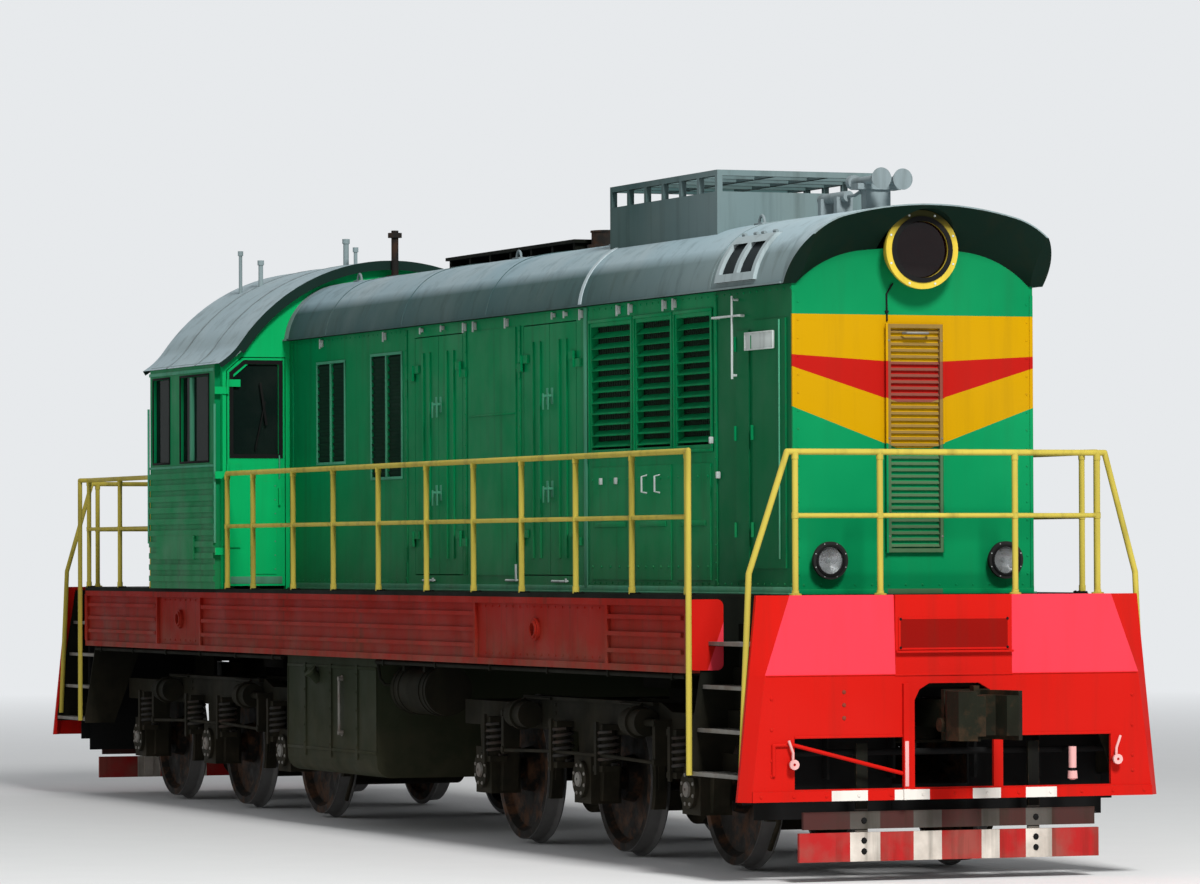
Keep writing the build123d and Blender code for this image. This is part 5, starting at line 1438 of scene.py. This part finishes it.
def exhaust_flange():
    """Collar of the exhaust stack, and the bolts round its foot."""
    kit = Kit()
    x = 1.9
    kit.ring((x, 0.0, 4.571), UP, 0.107, 0.130, 0.0, 0.014, 32)
    for place in around((x, 0.0, 4.476), "Z", 0.14, 6):
        kit.dome(place, UP, 0.012)
    kit.piece("exhaust_flange", material("soot_iron"))


class LOCO_OT_roof(bpy.types.Operator):
    """Bands, lifting eyes, hinges and lines on the roofs, and the cab roof's dark edges."""

    bl_idname = "loco.roof"
    bl_label = "Roof fittings"

    def execute(self, context):
        roof_bands()
        roof_joints()
        cab_roof_edges()
        roof_fittings()
        roof_lines()
        exhaust_flange()
        return {"FINISHED"}


# Panes in the cab's end walls, as (distance to the left, height)
CORNER_WINDOW = [(0.950, 2.983), (1.410, 2.983), (1.410, 3.650), (1.280, 3.760), (0.950, 3.760)]
DOOR_WINDOW = [(-0.977, 2.983), (-1.373, 2.983), (-1.373, 3.644), (-1.269, 3.728), (-0.977, 3.728)]

# Panes in the cab's sides: height of their lower and upper edge
SIDE_PANE_LOW = 2.935
SIDE_PANE_HIGH = 3.640

# The rear end's fittings are the front end's after half a turn about this place
CAB_MIDDLE = (CAB_FRONT_X + CAB_REAR_X) / 2

SEAT_X = -4.150
SEAT_Y = 0.95


def window_rubbers(width):
    """Rubbers round the cab's fixed panes, and the sliding panes' edges."""
    kit = Kit()
    wall = -CAB_SIDE
    for x_low, x_high in ((-4.807, -4.352), (-4.035, -3.263)):
        corners = ((x_low, SIDE_PANE_LOW), (x_high, SIDE_PANE_HIGH))
        rim(kit, *corners, width * 0.6, wall - 0.008, wall + 0.004)
        kit.block((x_low, wall + 0.030, SIDE_PANE_LOW), (x_low + 0.02, wall + 0.045, SIDE_PANE_HIGH))
    for y_low, y_high in ((-0.800, -0.330), (0.330, 0.800)):
        pane = [(y_low, 3.25), (y_high, 3.25), (y_high, 3.85), (y_low, 3.85)]
        outline_rim(kit, pane, CAB_REAR_X - 0.006, CAB_REAR_X, width)
    outline_rim(kit, CORNER_WINDOW, CAB_FRONT_X, CAB_FRONT_X + 0.006, width)
    rear_corner = [(-y, z) for y, z in CORNER_WINDOW]
    outline_rim(kit, rear_corner, CAB_REAR_X - 0.006, CAB_REAR_X, width)
    kit.piece("window_rubbers", material("rubber"))


def cab_stiles():
    """Stile of each sliding pane, rails above and below the panes, and grab rails at the corners."""
    kit = Kit()
    for side in (-1, 1):
        outer = side * (CAB_SIDE - 0.004)
        kit.block((-3.800, side * (CAB_SIDE - 0.030), 2.937), (-3.735, outer, 3.638), bevel=0.004)
        rail = (side * (CAB_SIDE - 0.002), side * (CAB_SIDE + 0.012))
        for z_low, z_high in ((3.672, 3.700), (2.880, 2.900)):
            kit.block((-4.905, rail[0], z_low), (-3.101, rail[1], z_high), bevel=0.004)
        grab_y = side * (CAB_SIDE + 0.008)
        for x in (-4.93, -3.075):
            kit.tube([(x, grab_y, 2.25), (x, grab_y, 3.40)], 0.010)
    kit.piece("cab_stiles", material("pale_green"))


def door_trim():
    """Window rubber, wiper, handle, rivets and kick plate that swing with each cab door."""
    x = CAB_FRONT_X
    for name, is_rear in (("cab_door_front", False), ("cab_door_rear", True)):
        seal = Kit()
        outline_rim(seal, DOOR_WINDOW, x, x + 0.006, 0.034)
        seal.tube([(x + 0.004, -1.18, 3.02), (x + 0.022, -1.18, 3.06), (x + 0.022, -1.10, 3.42)], 0.006)
        seal.block((x + 0.012, -1.125, 3.22), (x + 0.020, -1.105, 3.58), (0.15, 0, 0), bevel=0.002)
        metal = Kit()
        grip = x + 0.012
        metal.tube([(x, -0.975, 2.78), (grip, -0.975, 2.80), (grip, -0.975, 2.96), (x, -0.975, 2.975)], 0.006)
        leaf = x + 0.008
        for y in (-1.216, -1.012):
            rivets(metal, (leaf, y, 2.03), (leaf, y, 2.72), 0.115, AHEAD, 0.007)
        metal.block((x, -1.40, 1.91), (x + 0.004, -0.95, 1.97), bevel=0.001)
        if is_rear:
            seal.half_turn(CAB_MIDDLE)
            metal.half_turn(CAB_MIDDLE)
        seal.piece(f"{name}_seal", material("rubber"), body=name)
        metal.piece(f"{name}_metal", material("pale_green"), body=name)


def cab_wipers():
    """Wiper of each corner pane, front and rear."""
    kit = Kit()
    x = CAB_FRONT_X
    kit.tube([(x + 0.004, 1.18, 3.80), (x + 0.024, 1.18, 3.78), (x + 0.024, 1.12, 3.44)], 0.006)
    kit.block((x + 0.012, 1.108, 3.24), (x + 0.020, 1.124, 3.60), (-0.12, 0, 0), bevel=0.002)
    kit.half_turned_twin(CAB_MIDDLE)
    kit.piece("cab_wipers", material("rubber"))


def desk_instruments():
    """Gauges on the desk's sloped board, levers and the control wheel."""
    # The sloped board runs from its low edge to its high edge.
    low = Vector((-3.700, 0.0, 2.750))
    high = Vector((-3.560, 0.0, 2.950))
    along = (high - low).normalized()
    out = Vector((-along.z, 0.0, along.x))
    bezels = Kit()
    dials = Kit()
    for number, y in enumerate((0.42, 0.56, 0.70, 0.84, 0.98)):
        centre = low.lerp(high, 0.55) + Vector((0, y, 0))
        radius = 0.052 if number % 2 else 0.044
        bezel = [(radius, 0.0), (radius + 0.008, 0.0), (radius + 0.006, 0.012), (radius, 0.012)]
        bezels.lathe(centre, out, bezel, 28)
        dials.ring(centre, out, 0.001, radius, 0.0, 0.005, 28)
        needle = centre + out * 0.006
        bezels.bar(needle, needle + along * radius * 0.7, 0.002, 6)
    desk_x = -3.47
    knob = [(0.003, 0.0), (0.016, 0.004), (0.016, 0.030), (0.003, 0.036)]
    for y in (0.45, 0.52, 0.60):
        foot = Vector((desk_x, y, 2.985))
        bezels.bar(foot, foot + Vector((-0.05, 0, 0.13)), 0.007)
        bezels.lathe(foot + Vector((-0.05, 0, 0.12)), (-0.36, 0, 0.93), knob, 14)
    hub = (desk_x, 0.86, 3.07)
    bezels.bar((desk_x, 0.86, 2.99), (desk_x, 0.86, 3.06), 0.016)
    bezels.ring(hub, UP, 0.085, 0.102, -0.008, 0.008, 32)
    for end in around(hub, "Z", 0.09, 4):
        bezels.bar(hub, end, 0.006, 8)
    bezels.piece("desk_bezels", material("rubber"))
    dials.piece("desk_dials", material("pale_paint"))


def cab_cabinet():
    """Cabinet beside the front wall, with its door and handle."""
    kit = Kit()
    kit.block((-3.28, -0.70, DECK_Z), (-3.12, -0.20, 3.05), bevel=0.01)
    kit.block((-3.30, -0.66, 2.05), (-3.28, -0.24, 2.95), bevel=0.004)
    kit.bar((-3.31, -0.30, 2.45), (-3.31, -0.30, 2.60), 0.008)
    kit.piece("cab_cabinet", material("desk_enamel"))


def seat_pads():
    """Padded seat and back of the two seats, in place of the plain cushions."""
    # Pads: low and high corner about the seat's pedestal
    shapes = {
        "seat": ((-0.115, -0.225, 2.2983), (0.225, 0.225, 2.3933)),
        "back": ((-0.2147, -0.215, 2.3983), (-0.125, 0.215, 2.8583)),
    }
    pads = []
    for label, y in (("left", SEAT_Y), ("right", -SEAT_Y)):
        place = Vector((SEAT_X, y, 0))
        for part, (low, high) in shapes.items():
            pads.append(pad(f"{part}_pad_{label}", Vector(low) + place, Vector(high) + place))
    for made in pads:
        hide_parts("seat_cushions")


def pad(name, low, high):
    """One cushion: a rounded block, remeshed and blown up by cloth pressure, no further than swell."""
    inset = Vector((0.007, 0.007, 0.007))
    swell = 0.010
    cloth_frames = 20
    kit = Kit()
    kit.block(low + inset, high - inset, bevel=0.022)
    made = kit.piece(name, material("seat_cover"))
    bpy.context.view_layer.objects.active = made
    remesh = made.modifiers.new("remesh", "REMESH")
    remesh.mode = "VOXEL"
    remesh.voxel_size = 0.010
    bpy.ops.object.modifier_apply(modifier="remesh")
    start = [vert.co.copy() for vert in made.data.vertices]
    cloth = made.modifiers.new("cloth", "CLOTH")
    cloth.settings.use_pressure = True
    cloth.settings.uniform_pressure_force = 4.0
    cloth.settings.effector_weights.gravity = 0.0
    scene = bpy.context.scene
    for number in range(1, cloth_frames + 1):
        scene.frame_set(number)
    settled = made.evaluated_get(bpy.context.evaluated_depsgraph_get())
    ends = [vert.co.copy() for vert in settled.to_mesh().vertices]
    settled.to_mesh_clear()
    made.modifiers.remove(cloth)
    scene.frame_set(1)
    for vert, first, last in zip(made.data.vertices, start, ends):
        step = last - first
        if step.length > swell:
            step *= swell / step.length
        vert.co = first + step
    smooth = made.modifiers.new("smooth", "SUBSURF")
    smooth.levels = 1
    smooth.render_levels = 1
    bpy.ops.object.modifier_apply(modifier="smooth")
    for polygon in made.data.polygons:
        polygon.use_smooth = True
    return made


class LOCO_OT_cab(bpy.types.Operator):
    """Window rubbers, wipers, door trim, desk instruments and the two padded seats."""

    bl_idname = "loco.cab"
    bl_label = "Cab fittings"

    def execute(self, context):
        window_rubbers(context.scene.loco_sizes.gasket)
        cab_stiles()
        door_trim()
        cab_wipers()
        desk_instruments()
        cab_cabinet()
        seat_pads()
        return {"FINISHED"}


def springs(end, centre):
    """Four coil springs in each side of a bogie."""
    kit = Kit()
    turns = 5
    steps = 14
    radius = 0.076
    for x in (-1.794, -0.438, 0.438, 1.794):
        points = []
        for step in range(turns * steps + 1):
            angle = math.tau * step / steps
            height = 0.668 + 0.236 * step / (turns * steps)
            points.append((centre + x + radius * math.cos(angle), -1.155 + radius * math.sin(angle), height))
        kit.tube(points, 0.013, sides=8)
    kit.piece(f"springs_{end}", material("spring_steel"), f"bogie_{end}", mirror_y=True)


def axle_covers(end, centre):
    """Cap and eight bolts on each axle box of a bogie."""
    kit = Kit()
    cap = [(0.010, 0.0), (0.055, 0.0), (0.050, 0.014), (0.010, 0.018)]
    for offset in (-AXLE_PITCH, 0.0, AXLE_PITCH):
        middle = (centre + offset, -1.200, AXLE_Z)
        for place in around(middle, "Y", 0.105, 8, 0.5):
            kit.dome(place, OUTWARD, 0.015, 6)
        kit.lathe(middle, OUTWARD, cap, 24)
    kit.piece(f"axle_covers_{end}", material("worn_steel"), f"bogie_{end}", mirror_y=True)


def brake_rods(end, centre):
    """Rod along a bogie's side, pins, frame bolts and short pipes."""
    kit = Kit()
    rod_y = -1.212
    rod = [(-1.44, 0.715), (-0.55, 0.735), (0.55, 0.735), (1.44, 0.715)]
    kit.tube([(centre + x, rod_y, z) for x, z in rod], 0.013)
    for x in (-1.465, 1.465):
        for z in (0.72, 0.985):
            kit.bar((centre + x, -1.232, z), (centre + x, -1.218, z), 0.024)
    for x in (-1.0, -0.7, 0.7, 1.0):
        for z in (1.0, 1.06):
            kit.dome((centre + x, -1.100, z), OUTWARD, 0.018, 6)
    for x in (-1.12, 1.12):
        bend = (centre + x, -1.17, 1.105)
        kit.tube([(centre + x, -1.195, 1.08), bend, (centre + x * 0.6, -1.15, 1.105)], 0.010)
    kit.piece(f"brake_rods_{end}", material("frame_paint"), f"bogie_{end}", mirror_y=True)


def underframe_pipes():
    """Pipe with clips along each sill's foot, its branch, and the straps of the air reservoirs."""
    kit = Kit()
    pipe_y = -1.42
    clips = 6
    for x_low, x_high in ((-6.85, -1.62), (0.66, 6.85)):
        kit.tube([(x_low, pipe_y, 1.325), (x_high, pipe_y, 1.325)], 0.018)
        for number in range(clips):
            x = x_low + 0.2 + (x_high - x_low - 0.4) * number / (clips - 1)
            kit.block((x - 0.012, -1.445, 1.300), (x + 0.012, -1.395, 1.351), bevel=0.003)
    kit.tube([(0.74, -1.30, 1.15), (0.68, -1.36, 1.15), (0.68, -1.40, 1.20), (0.68, pipe_y, 1.32)], 0.012)
    # Straps: x, outer radius, half width
    straps = ((0.80, 0.196, 0.012), (1.46, 0.196, 0.012), (0.90, 0.197, 0.022), (1.36, 0.197, 0.022))
    for x, outer, half in straps:
        kit.ring((x, -1.150, 1.120), AHEAD, 0.189, outer, -half, half, 40)
    kit.piece("underframe_pipes", material("frame_paint"), mirror_y=True)


def tank_fittings():
    """Edge strips, bolt rows and filler of the fuel tank's sides."""
    kit = Kit()
    for x in (-1.545, 0.59):
        kit.block((x - 0.004, -1.405, 0.60), (x + 0.010, -1.395, 1.28), bevel=0.002)
    for z in (0.62, 1.27):
        kit.block((-1.54, -1.408, z - 0.012), (0.59, -1.399, z + 0.012), bevel=0.003)
    for x in (-1.10, -0.475, 0.15):
        rivets(kit, (x, -1.412, 0.66), (x, -1.412, 1.22), 0.14, OUTWARD, 0.012)
    kit.bar((-0.80, -1.39, 1.16), (-0.80, -1.45, 1.22), 0.045, 20)
    lid = [(0.010, 0.0), (0.055, 0.0), (0.055, 0.022), (0.010, 0.026)]
    kit.lathe((-0.80, -1.450, 1.22), (0, -0.7, 0.7), lid, 24)
    kit.piece("tank_fittings", material("tank_paint"), mirror_y=True)


def tank_gauge():
    """Upright gauge tube on the fuel tank's side."""
    kit = Kit()
    x = -0.20
    kit.tube([(x, -1.402, 0.74), (x, -1.430, 0.76), (x, -1.430, 1.18), (x, -1.402, 1.20)], 0.011)
    for z in (0.76, 1.18):
        kit.bar((x, -1.400, z), (x, -1.44, z), 0.018)
    kit.piece("tank_gauge", material("worn_steel"), mirror_y=True)


def rear_hood_fittings():
    """Slats, hinges and handles of the low rear hood's doors, rivets, top rail and end hatch."""
    kit = Kit()
    for x_low, x_high in ((-6.48, -5.86), (-5.76, -5.14)):
        for number in range(9):
            z = 2.10 + number * 0.055
            kit.block((x_low + 0.09, -0.899, z - 0.004), (x_high - 0.09, -0.890, z + 0.004), (0.5, 0, 0))
        hinge_x = x_low - 0.004
        for z in (2.08, 2.72):
            kit.bar((hinge_x, -0.895, z - 0.04), (hinge_x, -0.895, z + 0.04), 0.012)
        kit.block((x_high - 0.06, -0.915, 2.62), (x_high - 0.03, -0.890, 2.74), bevel=0.004)
    rivets(kit, (-6.55, -0.880, 1.92), (-5.02, -0.880, 1.92), 0.12, OUTWARD, 0.009)
    rail = [(-6.45, 3.00), (-6.40, 3.045), (-5.20, 3.045), (-5.15, 3.00)]
    kit.tube([(x, -0.70, z) for x, z in rail], 0.012)
    kit.block((-6.612, -0.30, 2.10), (-6.600, 0.0, 2.85), bevel=0.004)
    kit.block((-6.625, -0.06, 2.40), (-6.612, -0.03, 2.55), bevel=0.004)
    kit.piece("rear_hood_fittings", material("hood_paint"), mirror_y=True)


class LOCO_OT_under(bpy.types.Operator):
    """Fittings of the bogies, underframe, fuel tank and low rear hood."""

    bl_idname = "loco.under"
    bl_label = "Bogie and underframe fittings"

    def execute(self, context):
        for end, centre in (("front", BOGIE_X), ("rear", -BOGIE_X)):
            springs(end, centre)
            axle_covers(end, centre)
            brake_rods(end, centre)
        underframe_pipes()
        tank_fittings()
        tank_gauge()
        rear_hood_fittings()
        return {"FINISHED"}


BACKDROP = (0.80, 0.82, 0.84)

# Distances from the object between which the floor runs into the backdrop
FLOOR_FADE = (12.0, 45.0)


def seen_rays(tree):
    """1 for rays that the camera, gloss or glass sends out."""
    path = tree.nodes.new("ShaderNodeLightPath")
    total = path.outputs["Is Camera Ray"]
    for name in ("Is Transmission Ray", "Is Glossy Ray"):
        either = tree.nodes.new("ShaderNodeMath")
        either.operation = "MAXIMUM"
        tree.links.new(total, either.inputs[0])
        tree.links.new(path.outputs[name], either.inputs[1])
        total = either.outputs[0]
    return total


def floor_finish(colour):
    """Matt floor that runs into the backdrop far from the object."""
    finish = Finish("floor_matt")
    speckle = finish.ramp(finish.noise(2.0, 4.0), 0.3, 0.7)
    tone = finish.mix(speckle, tinted(colour, 0.98), tinted(colour, 1.0))
    finish.feed(finish.shader.inputs["Base Color"], tone)
    finish.shader.inputs["Roughness"].default_value = 0.9
    x, y, _ = finish.axes()
    squares = finish.calc("ADD", finish.calc("MULTIPLY", x, x), finish.calc("MULTIPLY", y, y))
    far = finish.ramp(finish.calc("SQRT", squares), *FLOOR_FADE)
    glow = finish.node("Emission")
    glow.inputs["Color"].default_value = (*BACKDROP, 1.0)
    choice = finish.node("MixShader")
    finish.feed(choice.inputs[0], finish.calc("MULTIPLY", far, seen_rays(finish.tree)))
    finish.feed(choice.inputs[1], finish.shader.outputs[0])
    finish.feed(choice.inputs[2], glow.outputs[0])
    finish.feed(finish.surface, choice.outputs[0])
    return finish.material


def stage_floor(colour):
    """Wide floor under the wheels."""
    grid = bmesh.new()
    bmesh.ops.create_grid(grid, x_segments=1, y_segments=1, size=400.0)
    data = bpy.data.meshes.new("floor")
    grid.to_mesh(data)
    grid.free()
    data.materials.append(floor_finish(colour))
    floor = bpy.data.objects.new("floor", data)
    bpy.context.scene.collection.objects.link(floor)


def stage_world():
    """Soft light on the object; the camera, gloss and glass see the pale backdrop."""
    world = bpy.data.worlds.new("studio")
    world.use_nodes = True
    bpy.context.scene.world = world
    tree = world.node_tree
    background = tree.nodes["Background"]
    background.inputs["Color"].default_value = (0.93, 0.96, 1.0, 1.0)
    background.inputs["Strength"].default_value = 0.36
    seen = tree.nodes.new("ShaderNodeBackground")
    seen.inputs["Color"].default_value = (*BACKDROP, 1.0)
    choice = tree.nodes.new("ShaderNodeMixShader")
    tree.links.new(seen_rays(tree), choice.inputs[0])
    tree.links.new(background.outputs[0], choice.inputs[1])
    tree.links.new(seen.outputs[0], choice.inputs[2])
    tree.links.new(choice.outputs[0], tree.nodes["World Output"].inputs["Surface"])


def stage_lights():
    """High key light ahead of the object and a weak wide one at its right side."""
    # Lights: name, place, aim, size, power
    lights = (
        ("key", (32.0, -2.5, 24.0), (2.0, 0.0, 2.0), 7.0, 12500.0),
        ("side", (4.0, -26.0, 14.0), (0.0, 0.0, 2.5), 14.0, 200.0),
    )
    for name, place, aim, size, power in lights:
        light = bpy.data.lights.new(name, "AREA")
        light.size = size
        light.energy = power
        made = bpy.data.objects.new(name, light)
        made.location = place
        made.rotation_euler = (Vector(aim) - Vector(place)).to_track_quat("-Z", "Y").to_euler()
        bpy.context.scene.collection.objects.link(made)


# The camera's place, turn and lens, from a fit of the object's known sizes
CAMERA_PLACE = (41.52, -15.77, 2.118)
CAMERA_YAW = math.radians(158.38)
CAMERA_PITCH = math.radians(1.17)
CAMERA_ROLL = math.radians(-0.20)
CAMERA_LENS = 169.5
SENSOR_WIDTH = 36.0


def stage_camera():
    """The camera, turned by yaw, pitch and roll."""
    level = math.cos(CAMERA_PITCH)
    forward = Vector((level * math.cos(CAMERA_YAW), level * math.sin(CAMERA_YAW), math.sin(CAMERA_PITCH)))
    right = Vector((math.sin(CAMERA_YAW), -math.cos(CAMERA_YAW), 0.0))
    up = right.cross(forward)
    rolled_right = right * math.cos(CAMERA_ROLL) + up * math.sin(CAMERA_ROLL)
    rolled_up = up * math.cos(CAMERA_ROLL) - right * math.sin(CAMERA_ROLL)
    axes = Matrix((rolled_right, rolled_up, -forward)).transposed().to_4x4()
    data = bpy.data.cameras.new("camera")
    data.sensor_width = SENSOR_WIDTH
    data.lens = CAMERA_LENS
    data.clip_end = 500.0
    camera = bpy.data.objects.new("camera", data)
    camera.matrix_world = Matrix.Translation(CAMERA_PLACE) @ axes
    bpy.context.scene.collection.objects.link(camera)
    bpy.context.scene.camera = camera


class LOCO_OT_stage(bpy.types.Operator):
    """Floor, soft lights, world and the camera."""

    bl_idname = "loco.stage"
    bl_label = "Stage and camera"

    def execute(self, context):
        context.scene.view_settings.view_transform = "Standard"
        stage_floor(context.scene.loco_colours.floor)
        stage_world()
        stage_lights()
        stage_camera()
        return {"FINISHED"}


STEPS = (
    LOCO_OT_finishes,
    LOCO_OT_hood,
    LOCO_OT_face,
    LOCO_OT_ends,
    LOCO_OT_roof,
    LOCO_OT_cab,
    LOCO_OT_under,
    LOCO_OT_stage,
)


class LOCO_PT_panel(bpy.types.Panel):
    """Lists the colours, the sizes and the steps in the 3D view's sidebar."""

    bl_idname = "LOCO_PT_panel"
    bl_label = "Locomotive"
    bl_space_type = "VIEW_3D"
    bl_region_type = "UI"
    bl_category = "Locomotive"

    def draw(self, context):
        for group in (context.scene.loco_colours, context.scene.loco_sizes):
            for key in group.__annotations__:
                self.layout.prop(group, key)
        for step in STEPS:
            self.layout.operator(step.bl_idname)


CLASSES = (LocoColours, LocoSizes, *STEPS, LOCO_PT_panel)


def register():
    for cls in CLASSES:
        bpy.utils.register_class(cls)
    bpy.types.Scene.loco_colours = bpy.props.PointerProperty(type=LocoColours)
    bpy.types.Scene.loco_sizes = bpy.props.PointerProperty(type=LocoSizes)


def unregister():
    del bpy.types.Scene.loco_colours
    del bpy.types.Scene.loco_sizes
    for cls in reversed(CLASSES):
        bpy.utils.unregister_class(cls)


def main():
    register()
    bpy.ops.loco.finishes()
    bpy.ops.loco.hood()
    bpy.ops.loco.face()
    bpy.ops.loco.ends()
    bpy.ops.loco.roof()
    bpy.ops.loco.cab()
    bpy.ops.loco.under()
    bpy.ops.loco.stage()


if __name__ == "__main__":
    main()
